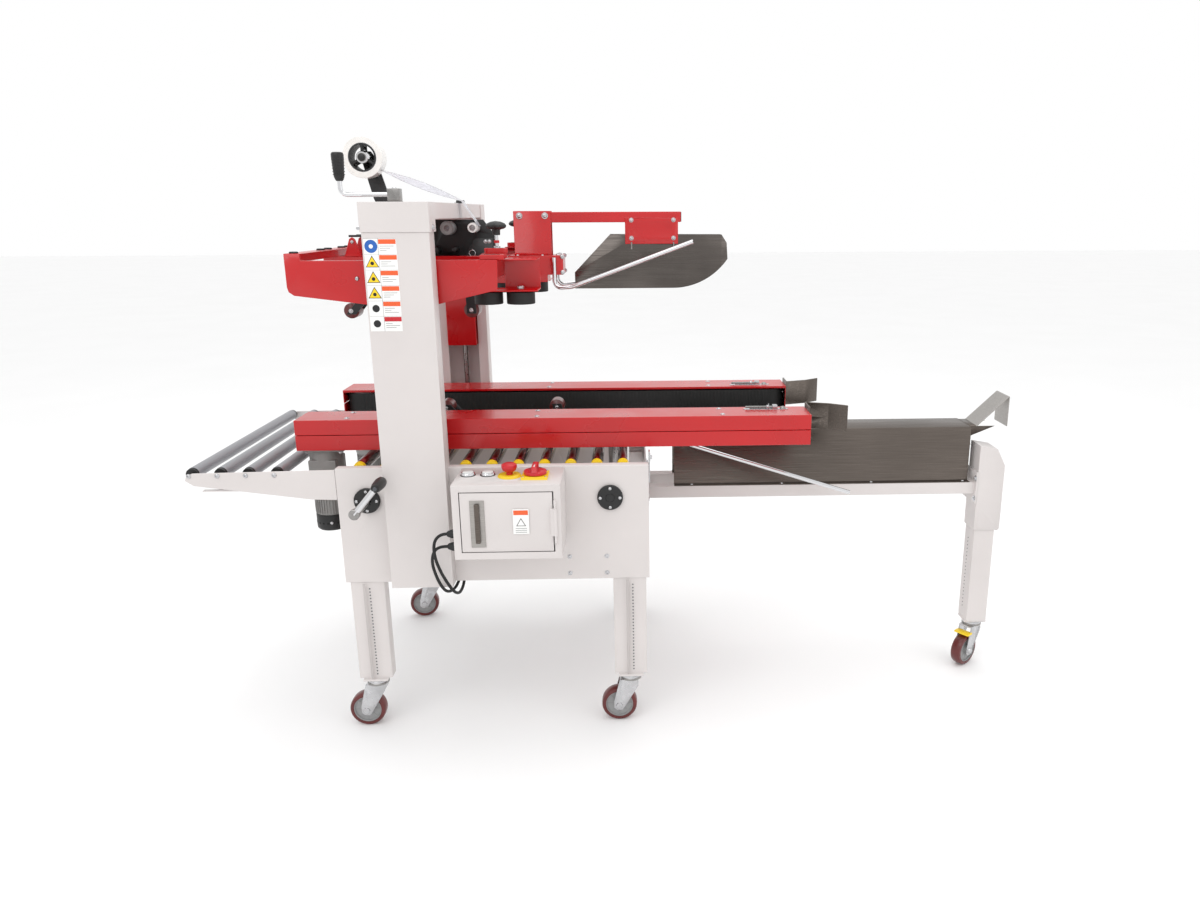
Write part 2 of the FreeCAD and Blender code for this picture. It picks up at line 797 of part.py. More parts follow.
def belt_body():
    """Endless flat belt round both pulleys."""
    wrap = "pulley_radius + belt_gauge"
    centre = ("belt_axis_y", "belt_low + 11", "belt_wide")

    def loop(radius):
        ends = [rod((x, f"-{centre[0]}", centre[1]), radius, centre[2]) for x in ("drive_x", "idler_x")]
        run = span("drive_x", "idler_x", f"-{centre[0]} - ({radius})", f"-{centre[0]} + {radius}",
                   centre[1], f"{centre[1]} + {centre[2]}")
        return fuse(*ends, run)

    return cut(loop(wrap), loop("pulley_radius"))


def drive_pulley_body():
    """Driven pulley on the gearbox's shaft."""
    drum = rod(("drive_x", "-belt_axis_y", "belt_low + 11"), "pulley_radius - 0.1", "belt_wide")
    shaft = rod(("drive_x", "-belt_axis_y", "belt_low - 12"), "10", "25")
    flange = rod(("drive_x", "-belt_axis_y", "belt_low + 11 + belt_wide"), "pulley_radius - 6", "4")
    return fuse(drum, shaft, flange)


def belt_motor_body():
    """Gearmotor under the housing's outfeed end, shaft upwards."""
    def post(low, high, radius):
        return rod(("drive_x", "-belt_axis_y", low), radius, f"({high}) - ({low})")

    plate = span("drive_x - 46", "drive_x + 64", "-belt_axis_y - 50", "-belt_axis_y + 50", "belt_low - 8",
                 "belt_low")
    gearbox = post("650", "belt_low - 8", "45")
    motor = post("584", "650", "41")
    cowl = post("536", "584", "43")
    fins = [cooling_fin(15 + 30 * index) for index in range(12)]
    bore = rod(("drive_x", "-belt_axis_y", "belt_low - 30"), "10.05", "40")
    return cut(fuse(plate, gearbox, motor, cowl, *fins), bore)


def cooling_fin(angle):
    """One of the upright fins round the motor's body, which reach just past its skin."""
    fin = doc.addObject("Part::Box", "Fin")
    fin.Placement = FreeCAD.Placement(FreeCAD.Vector(), FreeCAD.Rotation(FreeCAD.Vector(0, 0, 1), angle))
    for prop, value in (("Length", "44"), ("Width", "3"), ("Height", "58")):
        bind(fin, prop, value)
    bind_place(fin, ("drive_x", "-belt_axis_y", "588"))
    return fin


def belt_units():
    makers = {"belt_housing": belt_housing_body, "belt": belt_body,
              "drive_pulley": drive_pulley_body, "belt_motor": belt_motor_body}
    for name, make in makers.items():
        node(f"front_{name}", group(make()))
        node(f"rear_{name}", group(mirror(make())))


def width_crank():
    """Transverse screw with its crank. The grip points back towards the machine."""
    screw = rod(("width_screw_x", "-497", "width_z"), "width_radius", "497 + plate_face", "y")
    hub = rod(("width_screw_x", "-500", "width_z"), "14", "14", "y")
    tip = (size("width_screw_x") + 58, -493, size("width_z") + 68)
    start = (size("width_screw_x"), -493, size("width_z"))
    lever = feature(swept_rod([start, tip], [], 8))
    grip = body()

    def profile(drawn):
        polygon(drawn, [("-8", "0"), ("-8", "11"), ("0", "13"), ("40", "15"), ("56", "13"), ("60", "8"),
                        ("60", "0")])

    revolve(grip, "XZ_Plane", profile)
    grip.Placement = FreeCAD.Placement(FreeCAD.Vector(), FreeCAD.Rotation(FreeCAD.Vector(0, 0, 1), 90))
    bind_place(grip, ("width_screw_x + 58", "-488", "width_z + 68"))
    node("width_crank", fuse(screw, hub, lever, grip))


# ---------------------------------------------------------------- taping head

def head_side():
    """Profiled side plate of the head with a folded lip along its top."""
    plate = body()

    def outline(drawn):
        polygon(drawn, [
            ("head_left", "head_high"), ("head_right", "head_high"), ("head_right - 3", "head_low + 34"),
            ("column_left + column_wide - 4", "head_low"), ("column_left - 25", "head_low"),
            ("head_left + 16", "head_low + 23"), ("head_left + 3", "head_low + 32"),
            ("head_left", "head_low + 44"),
        ])

    pad(plate, "XZ_Plane", "-head_side", "4", outline)
    lip = span("head_left", "head_right", "-head_side", "-head_side + 24", "head_high", "head_high + 3")
    return fuse(plate, lip)


def slider():
    """Carriage in the column: a channel with a nut for the lead screw at each end."""
    x0 = "screw_x - 47"
    x1 = "screw_x + 47"
    outer = span(x0, x1, "-column_face + 12", "-head_side", "slider_low", "head_high")
    room = span(f"{x0} + 8", f"{x1} - 8", "-column_face + 11", "-column_face + column_deep + 8",
                "slider_low + 18", "head_high - 18")
    bore = rod(("screw_x", "-screw_y", "slider_low - 5"), "screw_radius + 0.05",
               "head_high - slider_low + 10")
    return cut(outer, room, bore)


def squeeze_bracket():
    """Channel under which a pair of squeeze rollers hangs, on the near side of the taping unit."""
    left = "head_right - 90"
    right = "head_right + 88"
    floor = span(left, right, "-236", "-150", "head_low + 21", "head_low + 25")
    back = span("head_right - 8", right, "-154", "-150", "head_low + 25", "head_high")
    roof = span("head_right - 8", right, "-236", "-150", "head_high - 4", "head_high")
    side = span("head_right - 14", "head_right - 8", "-head_side + 4", "-46", "head_low + 60", "head_high")
    return [floor, back, roof, side]


def head_frame():
    """Red carriage frame: two side plates, cross bars, the inner rails, sliders and brackets."""
    half = fuse(head_side(), slider(), *squeeze_bracket())
    inner = span("head_left", "head_right - 8", "-46", "-41", "head_low + 30", "head_high")
    end_block = cut(span("head_right - 8", "head_right + 98", "-46", "46", "head_low + 32", "head_high"),
                    span("head_right - 9", "head_right + 93", "-41", "41", "head_low + 37",
                         "head_high - 5"))
    cross_bar = cut(span("head_left", "head_left + 40", "-head_side", "head_side", "head_high",
                         "head_high + 21"),
                    span("head_left + 3", "head_left + 37", "-head_side + 3", "head_side - 3",
                         "head_high + 3", "head_high + 18"))
    adjuster_arm = span("head_right - 56", "head_right - 8", "-236", "-212", "head_high + 3",
                        "head_high + 14")
    clamp = span("head_right + 98", "head_right + 143", "-46", "46", "head_low + 52", "head_high")
    pieces = [half, mirror(half), inner, mirror(inner), end_block, cross_bar, adjuster_arm,
              mirror(adjuster_arm), clamp]
    node("head_frame", fuse(*pieces))


def squeeze_rollers():
    """Rubber rollers that press a carton's sides together ahead of the tape."""
    rollers = []
    for x in ("head_right - 48", "head_right + 38"):
        for y in ("-194", "194"):
            rollers.append(rod((x, y, "head_low - 14"), "38", "33"))
            rollers.append(rod((x, y, "head_low + 19"), "9", "2"))
            rollers.append(hex_head((x, y, "head_low + 25"), "18", "9"))
    node("squeeze_rollers", group(*rollers))


SADDLE_BOLTS = ("head_right + 338", "head_right + 458")


def flap_arm():
    """Bracket on the head's infeed end, the square arm it holds and the saddle for the blade."""
    sides = [span("head_right + 5", "head_right + 110", y0, f"{y0} + 5", "head_high", "head_high + 122")
             for y0 in ("-25", "20")]
    base = span("head_right + 5", "head_right + 98", "-32", "32", "head_high", "head_high + 6")
    bar = cut(span("head_right + 5", "head_right + 479", "-20", "20", "head_high + 90", "head_high + 119"),
              span("head_right + 4", "head_right + 476", "-17", "17", "head_high + 93", "head_high + 116"))
    saddle = [span("head_right + 320", "head_right + 471", y0, f"{y0} + 4", "head_high + 30",
                   "head_high + 102")
              for y0 in ("-24", "20")]
    bolts = []
    for x in SADDLE_BOLTS:
        bolts.append(rod((x, "-28", "head_high + 46"), "4", "56", "y"))
        bolts.append(rod((x, "-28", "head_high + 96"), "4", "56", "y"))
    node("flap_arm", fuse(*sides, base, bar, *saddle, *bolts))


def nose_corner(radius):
    """What an arc of this radius leaves over of the blade's lower front corner."""
    square = span("blade_nose", "blade_nose + blade_bend", "-30", "30", "blade_low - 1",
                  "blade_low + blade_bend")
    disc = rod(("blade_nose", "-31", "blade_low + blade_bend"), radius, "62", "y")
    return cut(square, disc)


def flap_blade():
    """Folded sheet that tucks the leading flap: two cheeks joined round the bottom and nose."""
    cheeks = body()

    def outline(drawn):
        polygon(drawn, [
            ("blade_left", "blade_low"), ("blade_left", "blade_low + 46"),
            ("blade_left + 103", "blade_low + 152"),
            ("blade_left + 422", "blade_low + 150"), ("blade_left + 437", "blade_low + 127"),
            ("blade_left + 440", "blade_low + 82"), ("blade_left + 440", "blade_low"),
        ])

    pad(cheeks, "XZ_Plane", "-20", "40", outline)
    room = body()

    def inside(drawn):
        polygon(drawn, [
            ("blade_left - 1", "blade_low + blade_gauge"), ("blade_left - 1", "blade_low + 160"),
            ("blade_left + 414", "blade_low + 160"), ("blade_left + 435", "blade_low + 126"),
            ("blade_left + 440 - blade_gauge", "blade_low + 82"),
            ("blade_left + 440 - blade_gauge", "blade_low + blade_gauge"),
        ])

    pad(room, "XZ_Plane", "-20 + blade_gauge", "40 - 2 * blade_gauge", inside)
    bolt_holes = [rod((x, "-30", "head_high + 46"), "4.2", "60", "y") for x in SADDLE_BOLTS]
    node("flap_blade", cut(cheeks, nose_corner("blade_bend"),
                           cut(room, nose_corner("blade_bend - blade_gauge")),
                           *bolt_holes))


def flap_rods():
    """Bent bright bars: an upper pair on the head's nose and a lower pair on the infeed table's walls."""
    x0 = size("head_right") + 118
    z0 = size("head_high") - 6
    upper = feature(swept_rod(
        [(x0, -53, z0), (x0, -62, z0 - 84), (x0 + 50, -74, z0 - 80), (x0 + 388, -150, z0 + 46)],
        [20, 40], 6))
    node("upper_flap_rods", group(upper, mirror(upper)))
    start = size("trough_left") + 28
    lower = feature(swept_rod(
        [(start, -size("trough_half") - 2, 748), (start, -118, 748), (start + 481, -170, 606)], [30], 6))
    node("lower_flap_rods", group(lower, mirror(lower)))


# ---------------------------------------------------------------- taping units

def tape_unit_plate(y0, outline_points):
    plate = body()

    def outline(drawn):
        polygon(drawn, outline_points)

    pad(plate, "XZ_Plane", y0, "3", outline)
    return plate


def upper_tape_unit():
    """Taping cartridge between the head's inner rails: cheeks, guide rollers and a blade guard."""
    far = tape_unit_plate("30", [
        ("-640", "1200"), ("-640", "1290"), ("-560", "beam_low - 4"), ("-424", "beam_low - 4"),
        ("-391", "1338"), ("-391", "1200"),
    ])
    near = tape_unit_plate("-33", [
        ("-640", "1200"), ("-640", "1282"), ("-470", "1282"), ("-440", "1330"), ("-391", "1330"),
        ("-391", "1200"),
    ])
    drive = rod(("-518", "-24", "1359"), "18", "54", "y")
    guide = rod(("-446", "-24", "1360"), "13", "54", "y")
    spacers = [rod((x, "-30", z), "6", "60", "y") for x,
               z in (("-625", "1215"), ("-405", "1215"), ("-500", "1300"))]
    nip = rod(("-560", "-24", "1296"), "14", "54", "y")
    node("upper_tape_unit", fuse(far, near, drive, guide, *spacers, nip, *pivot_pins("upper", 33)))


# Each swinging arm: its pivot and its roller as X and Z, and which way it reaches, 1 down or -1 up.
APPLICATORS = {
    "upper_entry_applicator": (-462, 1232, -462, 1129, 1),
    "upper_exit_applicator": (-700, 1232, -806, 1129, 1),
    "lower_entry_applicator": (-190, 735, -226, 840, -1),
    "lower_exit_applicator": (-447, 735, -553, 840, -1),
}


def applicator(label, pivot_x, pivot_z, roller_x_at, roller_z_at, reach):
    """Two swinging cheeks on a bored tie, with a wiping roller at their free end."""
    cheeks = []
    for y0 in ("-28", "24"):
        cheek = body()
        beyond = 10 * reach

        def outline(drawn):
            polygon(drawn, [
                (f"{pivot_x} - 14", f"{pivot_z} + {beyond}"), (f"{pivot_x} + 14", f"{pivot_z} + {beyond}"),
                (f"{roller_x_at} + 14", f"{roller_z_at} - {beyond}"),
                (f"{roller_x_at} - 14", f"{roller_z_at} - {beyond}"),
            ])

        pad(cheek, "XZ_Plane", y0, "4", outline)
        cheeks.append(cheek)
    roller = rod((roller_x_at, "-22", roller_z_at), "apply_radius", "44", "y")
    pin = rod((roller_x_at, "-28", roller_z_at), "7", "56", "y")
    tie = rod((pivot_x, "-28", pivot_z), "9", "56", "y")
    bore = rod((pivot_x, "-30", pivot_z), "pivot_radius + 0.05", "60", "y")
    node(label, cut(fuse(*cheeks, roller, pin, tie), bore))


def applicators():
    for label, values in APPLICATORS.items():
        applicator(label, *values)


def pivot_pins(family, reach_y):
    """The fixed pins that one taping unit's two arms turn on."""
    pins = []
    for label, (pivot_x, pivot_z, *_) in APPLICATORS.items():
        if label.startswith(family):
            pins.append(rod((pivot_x, f"-{reach_y}", pivot_z), "pivot_radius", f"2 * {reach_y}", "y"))
    return pins


def lower_tape_unit():
    """The same cartridge turned upside down below the bed, with its own roll of tape."""
    outline = [("-610", "502"), ("-610", "752"), ("-140", "752"), ("-140", "502")]
    plates = [tape_unit_plate(y0, outline) for y0 in ("-40", "37")]
    spacers = [rod((x, "-37", z), "6", "74", "y") for x,
               z in (("-595", "520"), ("-155", "520"), ("-390", "740"))]
    tape = ring(("-390", "-24", "590"), "70", "tape_core", "tape_wide", "y")
    mandrel = rod(("-390", "-37", "590"), "tape_core", "74", "y")
    node("lower_tape_unit", fuse(*plates, *spacers, tape, mandrel, *pivot_pins("lower", 40)))


def upper_tape_roll():
    """Part-used roll of tape on its mandrel."""
    node("upper_tape_roll", ring(("tape_x", "-tape_wide / 2", "tape_z"), "tape_radius", "10.05",
                                 "tape_wide", "y"))


def tape_web():
    """The band of tape from the roll over the beam to the upper unit's guide roller."""
    over_beam = (size("column_left") + size("column_wide") + 6, size("cap_top") + 5)
    points = [(size("tape_x") + 44, size("tape_z") - 33), over_beam, (-430, 1362)]
    edges = []
    for (x_a, z_a), (x_b, z_b) in zip(points, points[1:]):
        edges.append(Part.makeLine(FreeCAD.Vector(x_a, -24, z_a), FreeCAD.Vector(x_b, -24, z_b)))
    band = [edge.extrude(FreeCAD.Vector(0, 48, 0)).extrude(FreeCAD.Vector(0.6, 0, 0.8)) for edge in edges]
    node("tape_web", feature(band[0].fuse(band[1]).removeSplitter()))


# ---------------------------------------------------------------- infeed table

def infeed_rails():
    """Two square rails from the bed's end plate to the leg's sleeve."""
    pieces = []
    for y0 in ("-rail_outer", "rail_inner"):
        outer = span("plate_right", "rail_right", y0, f"{y0} + rail_outer - rail_inner", "rail_low",
                     "trough_low")
        inner = span("plate_right + 5", "rail_right - 5", f"{y0} + 3",
                     f"{y0} + rail_outer - rail_inner - 3",
                     "rail_low + 3", "trough_low - 3")
        pieces.append(cut(outer, inner))
    end = span("rail_right", "rail_right + 6", "-rail_outer - 13", "rail_outer + 5", "540", "640")
    x0 = "post_x - post_wide / 2 - leg_gap - 4"
    x1 = "post_x + post_wide / 2 + leg_gap + 12"
    y0 = "post_y - post_deep / 2 - leg_gap - 4"
    y1 = "post_y + post_deep / 2 + leg_gap + 4"
    sleeve = body()

    def outline(drawn):
        polygon(drawn, [(x0, "455"), (f"{x1} - 6", "455"), (x1, "461"), (x1, "660"), (f"{x1} - 26", "712"),
                        (x0, "722")])

    pad(sleeve, "XZ_Plane", y0, f"({y1}) - ({y0})", outline)
    bore = span(f"{x0} + 4", f"{x1} - 4", f"{y0} + 4", f"{y1} - 4", "450", "650")
    node("infeed_rails", fuse(*pieces, end, cut(sleeve, bore)))


def infeed_trough():
    """Folded steel table: a narrow top between two deep side walls, and a raised end stop."""
    table = body()

    def profile(drawn):
        polygon(drawn, [
            ("-trough_half - 25", "trough_low"), ("-trough_half", "trough_low"),
            ("-trough_half", "trough_top"),
            ("trough_half", "trough_top"), ("trough_half", "trough_low"),
            ("trough_half + 25", "trough_low"),
            ("trough_half + 25", "trough_low + 2"), ("trough_half + 2", "trough_low + 2"),
            ("trough_half + 2", "trough_top + 2"), ("-trough_half - 2", "trough_top + 2"),
            ("-trough_half - 2", "trough_low + 2"), ("-trough_half - 25", "trough_low + 2"),
        ])

    pad(table, "YZ_Plane", "trough_left", "trough_right - trough_left", profile)
    stop = body()

    def flap(drawn):
        polygon(drawn, [
            ("trough_right - 2", "trough_top"), ("trough_right + 22", "trough_top"),
            ("trough_right + 112", "trough_top + 88"), ("trough_right + 112", "trough_top"),
            ("trough_right + 115", "trough_top"), ("trough_right + 115", "trough_top + 91"),
            ("trough_right + 111", "trough_top + 91"), ("trough_right + 20", "trough_top + 3"),
            ("trough_right - 2", "trough_top + 3"),
        ])

    pad(stop, "XZ_Plane", "-47", "94", flap)
    gusset = body()

    def web(drawn):
        polygon(drawn, [("trough_right - 2", "trough_top"), ("trough_right + 80", "trough_top"),
                        ("trough_right - 2", "trough_top - 34")])

    pad(gusset, "XZ_Plane", "-40", "3", web)
    node("infeed_trough", fuse(table, stop, gusset, mirror(gusset)))


# ---------------------------------------------------------------- controls

def control_box():
    """Sheet-metal cabinet on the front side plate, its switch bezels and the door's frame."""
    shell = body()

    def side(drawn):
        polygon(drawn, [("-box_front", "box_low"), ("-box_front", "box_top"), ("-plate_face", "box_top"),
                        ("-plate_face", "box_low + 46"), ("-plate_face - 30", "box_low")])

    pad(shell, "YZ_Plane", "box_left", "box_right - box_left", side)
    room = body()

    def inside(drawn):
        polygon(drawn, [("-box_front + box_gauge", "box_low + box_gauge"),
                        ("-box_front + box_gauge", "box_top - box_gauge"),
                        ("-plate_face - box_gauge", "box_top - box_gauge"),
                        ("-plate_face - box_gauge", "box_low + 47"),
                        ("-plate_face - 31", "box_low + box_gauge")])

    pad(room, "YZ_Plane", "box_left + box_gauge", "box_right - box_left - 2 * box_gauge", inside)
    mouth = span("box_left + door_rim - 2", "box_right - door_rim + 3", "-box_front - 1", "-box_front + 4",
                 "box_low + door_rim - 2", "box_top - door_rim + 2")
    gland_holes = [rod(("box_left - 1", "-470", z), "8", "5", "x") for z in ("606", "572")]
    box = cut(shell, room, mouth, *gland_holes)
    bezels = []
    for x in ("-420", "-370"):
        bezels.append(ring((x, "button_y", "box_top"), "17", "14.5", "8"))
    bezels.append(ring(("stop_x", "stop_y", "box_top"), "28", "8.5", "5"))
    plate = span("switch_x - 33", "switch_x + 33", "switch_y - 33", "switch_y + 33",
                 "box_top", "box_top + 8")
    bezels.append(cut(plate, rod(("switch_x", "switch_y", "box_top - 1"), "8.05", "12")))
    stems = [("-420", "button_y", "9.5"), ("-370", "button_y", "9.5"), ("stop_x", "stop_y", "8.5"),
             ("switch_x", "switch_y", "8.05")]
    holes = [rod((x, y, "box_top - 5"), radius, "10") for x, y, radius in stems]
    pin = rod(("hinge_x", "-hinge_y", "box_low + 40"), "3", "115")
    lugs = [span("hinge_x - 3", "hinge_x + 3", "-hinge_y - 3", "-box_front", z, f"{z} + 14")
            for z in ("box_low + 40", "box_low + 141")]
    node("control_box", fuse(cut(box, *holes), *bezels, pin, *lugs))


def cabinet_door():
    """Flush door with a proud latch plate and a hinge leaf along its right edge."""
    door = span("box_left + door_rim", "box_right - door_rim", "-box_front", "-box_front + 2",
                "box_low + door_rim", "box_top - door_rim")
    latch_plate = span("-404", "-368", "-box_front - 3", "-box_front", "594", "716")
    bore = rod(("-386", "-box_front - 5", "696"), "5.05", "20", "y")
    lock = ring(("-386", "-box_front + 2", "696"), "9", "5.05", "10", "y")
    leaf = span("hinge_x - 12", "hinge_x - 2", "-hinge_y - 2", "-box_front", "box_low + 62",
                "box_low + 133")
    knuckle = rod(("hinge_x", "-hinge_y", "box_low + 62"), "5", "71")
    knuckle_bore = rod(("hinge_x", "-hinge_y", "box_low + 60"), "3.05", "75")
    node("cabinet_door", fuse(cut(fuse(door, latch_plate, leaf, knuckle), bore, knuckle_bore), lock))


def door_latch():
    """Swing handle on the latch plate, turned about its upper end."""
    lever = span("-392", "-380", "-box_front - 10", "-box_front - 3.3", "606", "708")
    spindle = rod(("-386", "-box_front - 5", "696"), "5", "22", "y")
    node("door_latch", fuse(lever, spindle))


def push_buttons():
    for label, x in (("start_button", "-420"), ("stop_button", "-370")):
        cap = rod((x, "button_y", "box_top + 4.5"), "14", "5")
        stem = rod((x, "button_y", "box_top - 18"), "9", "23")
        node(label, fuse(cap, stem))


def emergency_stop():
    head = body()

    def profile(drawn):
        polygon(drawn, [("0", "0"), ("0", "12"), ("4", "17"), ("12", "20"), ("18", "19"), ("21", "14"),
                        ("22", "0")])

    revolve(head, "XZ_Plane", profile)
    head.Placement = FreeCAD.Placement(FreeCAD.Vector(), FreeCAD.Rotation(FreeCAD.Vector(0, 1, 0), -90))
    bind_place(head, ("stop_x", "stop_y", "box_top + 13"))
    stem = rod(("stop_x", "stop_y", "box_top - 18"), "8", "33")
    node("emergency_stop", fuse(head, stem))


def main_switch():
    """Rotary isolator: a round knob with a bar grip."""
    knob = rod(("switch_x", "switch_y", "box_top + 8.5"), "29", "9")
    grip = span("switch_x - 7", "switch_x + 7", "switch_y - 26", "switch_y + 26",
                "box_top + 17.5", "box_top + 33")
    spindle = rod(("switch_x", "switch_y", "box_top - 18"), "8", "28")
    node("main_switch", fuse(knob, grip, spindle))


CABLE_RADIUS = 4
CABLES = {
    "A": [(-478, -470, 606), (-486, -470, 606), (-499, -473, 602), (-509, -478, 591), (-512, -483, 573),
          (-509, -487, 545), (-498, -485, 508), (-484, -476, 472), (-474, -456, 440), (-468, -424, 421),
          (-468, -384, 414), (-469, -348, 416), (-470, -326, 428), (-470, -320, 446)],
    "B": [(-478, -470, 572), (-486, -470, 572), (-500, -467, 569), (-513, -462, 560), (-522, -457, 544),
          (-526, -452, 518), (-521, -445, 484), (-512, -437, 452), (-504, -419, 426), (-497, -388, 411),
          (-491, -352, 407), (-487, -322, 414), (-486, -306, 428), (-486, -300, 446)],
}


def arc_radii(points):
    """As large an arc at each inner point as its two runs allow."""
    radii = []
    for before, corner, after in zip(points, points[1:], points[2:]):
        arriving = FreeCAD.Vector(*corner) - FreeCAD.Vector(*before)
        leaving = FreeCAD.Vector(*after) - FreeCAD.Vector(*corner)
        shorter = min(arriving.Length, leaving.Length)
        radii.append(0.45 * shorter / math.tan(arriving.getAngle(leaving) / 2))
    return radii


def control_cables():
    """Two wiring looms from the cabinet's side, under the side plate and up to the junction box."""
    pieces = []
    for name, points in CABLES.items():
        radii = arc_radii(points)
        print(f"cable {name}: radii {[round(radius) for radius in radii]}")
        pieces.append(feature(swept_rod(points, radii, CABLE_RADIUS)))
    node("control_cables", group(*pieces, *cable_glands()))


def cable_glands():
    """Threaded glands with a tapered nut where the looms leave the cabinet."""
    glands = []
    for z in ("606", "572"):
        body_part = rod(("box_left - 14", "-470", z), "12", "14", "x")
        nut = cone(("box_left - 30", "-470", z), "8", "11", "16", "x")
        shank = rod(("box_left", "-470", z), "7.9", "12", "x")
        glands.append(fuse(body_part, nut, shank))
    return glands


# ---------------------------------------------------------------- fasteners

def frame_bolts():
    """The shafts' flanges, and the bolt heads on them, the side plates, the arms and the end plate."""
    heads = shaft_flanges()
    for x in SHAFTS:
        for du, dv in (("0", "26"), ("0", "-26"), ("26", "0"), ("-26", "0")):
            heads.append(rod((f"{x} + {du}", "-plate_face - 13", f"width_z + {dv}"), "4.5", "3", "y"))
            heads.append(rod((f"{x} + {du}", "plate_face + 10", f"width_z + {dv}"), "4.5", "3", "y"))
    for x in ("-174", "-74"):
        for z in ("455", "503"):
            heads.append(rod((x, "-plate_face - 3", z), "5", "3", "y"))
            heads.append(rod((x, "plate_face", z), "5", "3", "y"))
    for index in range(4):
        x = f"outfeed_first + {index} * outfeed_pitch"
        heads.append(rod((x, "-plate_face - 4", "outfeed_z"), "6.5", "4", "y"))
        heads.append(rod((x, "plate_face", "outfeed_z"), "6.5", "4", "y"))
    for y in ("-rail_outer - 36", "rail_outer + 36"):
        for z in ("578", "598"):
            heads.append(hex_head(("plate_right", y, z), "13", "6", "x"))
    node("flanges_and_bolts", group(*heads))


# ---------------------------------------------------------------- build, check and write

def build():
    for make in (
        side_plates, bed_cross_members, bed_rollers, roller_axles, outfeed_arms, outfeed_rollers,
        columns, top_beam, tape_roll_arm, mast_screws, mast_crank, leg_tubes, casters,
        belt_units, width_crank, head_frame, squeeze_rollers, flap_arm, flap_blade, flap_rods,
        upper_tape_unit, applicators, lower_tape_unit, upper_tape_roll, tape_web, infeed_rails,
        infeed_trough, control_box, cabinet_door, door_latch, push_buttons, emergency_stop,
        main_switch, control_cables, frame_bolts,
    ):
        make()


def check():
    for obj in doc.Objects:
        if {"Invalid", "Error"} & set(obj.State):
            raise RuntimeError(f"{obj.Name} ({obj.Label}) is {obj.State}")
    for obj in SUBPARTS:
        if obj.Shape.isNull() or not obj.Shape.isValid() or not obj.Shape.Solids:
            raise RuntimeError(f"{obj.Label} has no valid solid")


def write():
    os.makedirs("parts", exist_ok=True)
    for obj in SUBPARTS:
        obj.Shape.exportStep(f"parts/{obj.Label}.step")


build()
doc.recompute()
check()
write()
whole = Part.makeCompound([obj.Shape for obj in SUBPARTS]).BoundBox
print(f"{len(SUBPARTS)} sub-parts")
for axis in "XYZ":
    print(f"{axis} {getattr(whole, axis + 'Min'):.1f} to {getattr(whole, axis + 'Max'):.1f}")
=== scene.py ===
import json
import math

import bmesh
import bpy
from mathutils import Matrix, Vector

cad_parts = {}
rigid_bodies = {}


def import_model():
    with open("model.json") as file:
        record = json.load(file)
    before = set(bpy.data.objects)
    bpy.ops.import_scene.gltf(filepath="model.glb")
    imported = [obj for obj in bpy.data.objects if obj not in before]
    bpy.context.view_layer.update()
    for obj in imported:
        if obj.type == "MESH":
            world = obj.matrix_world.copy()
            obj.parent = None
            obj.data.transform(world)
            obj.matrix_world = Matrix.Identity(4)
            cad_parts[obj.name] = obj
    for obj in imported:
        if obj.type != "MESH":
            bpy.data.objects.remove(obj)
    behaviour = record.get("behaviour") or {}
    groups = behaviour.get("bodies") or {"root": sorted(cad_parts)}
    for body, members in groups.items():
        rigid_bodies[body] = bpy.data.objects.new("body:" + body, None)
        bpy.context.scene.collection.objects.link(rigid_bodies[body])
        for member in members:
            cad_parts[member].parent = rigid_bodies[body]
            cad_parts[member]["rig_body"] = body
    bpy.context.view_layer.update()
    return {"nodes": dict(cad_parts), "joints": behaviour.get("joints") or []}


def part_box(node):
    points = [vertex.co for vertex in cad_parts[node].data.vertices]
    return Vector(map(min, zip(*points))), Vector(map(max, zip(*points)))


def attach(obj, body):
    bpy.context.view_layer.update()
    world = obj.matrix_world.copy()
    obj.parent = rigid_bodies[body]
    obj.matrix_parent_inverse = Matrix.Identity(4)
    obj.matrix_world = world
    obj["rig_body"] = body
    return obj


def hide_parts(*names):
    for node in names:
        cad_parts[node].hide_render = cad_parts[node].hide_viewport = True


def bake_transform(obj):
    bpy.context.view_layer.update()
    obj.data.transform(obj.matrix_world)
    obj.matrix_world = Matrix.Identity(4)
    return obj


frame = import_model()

# Places below are in millimetres in the machine's own drawing: X along the carton's path, Y = 0 on the
# middle plane of the two columns, Z = 0 on the floor. at() turns such a place into the frame's metres.
COLUMN_LEFT = -645
_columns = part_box("columns")
ZERO = Vector((_columns[0].x - COLUMN_LEFT / 1000, (_columns[0].y + _columns[1].y) / 2, 0))


def at(x, y, z):
    return ZERO + Vector((x, y, z)) / 1000


def linked(name, data):
    """A new object in the scene that shows data."""
    obj = bpy.data.objects.new(name, data)
    bpy.context.scene.collection.objects.link(obj)
    return obj


def span_of(node):
    """A node's box at rest in machine millimetres: low corner and high corner."""
    low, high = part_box(node)
    return (low - ZERO) * 1000, (high - ZERO) * 1000


# ---------------------------------------------------------------- materials

def nodes_of(name):
    made = bpy.data.materials.new(name)
    made.use_nodes = True
    tree = made.node_tree
    shader = tree.nodes["Principled BSDF"]
    return made, tree, shader


def noise(tree, scale, detail=3.0, stretch=None):
    """Noise in the object's own coordinates. stretch draws it out along an axis, as brushing does."""
    place = tree.nodes.new("ShaderNodeTexCoord")
    mapping = tree.nodes.new("ShaderNodeMapping")
    mapping.inputs["Scale"].default_value = stretch or (1, 1, 1)
    tree.links.new(place.outputs["Object"], mapping.inputs["Vector"])
    texture = tree.nodes.new("ShaderNodeTexNoise")
    texture.inputs["Scale"].default_value = scale
    texture.inputs["Detail"].default_value = detail
    tree.links.new(mapping.outputs["Vector"], texture.inputs["Vector"])
    return texture.outputs["Fac"]


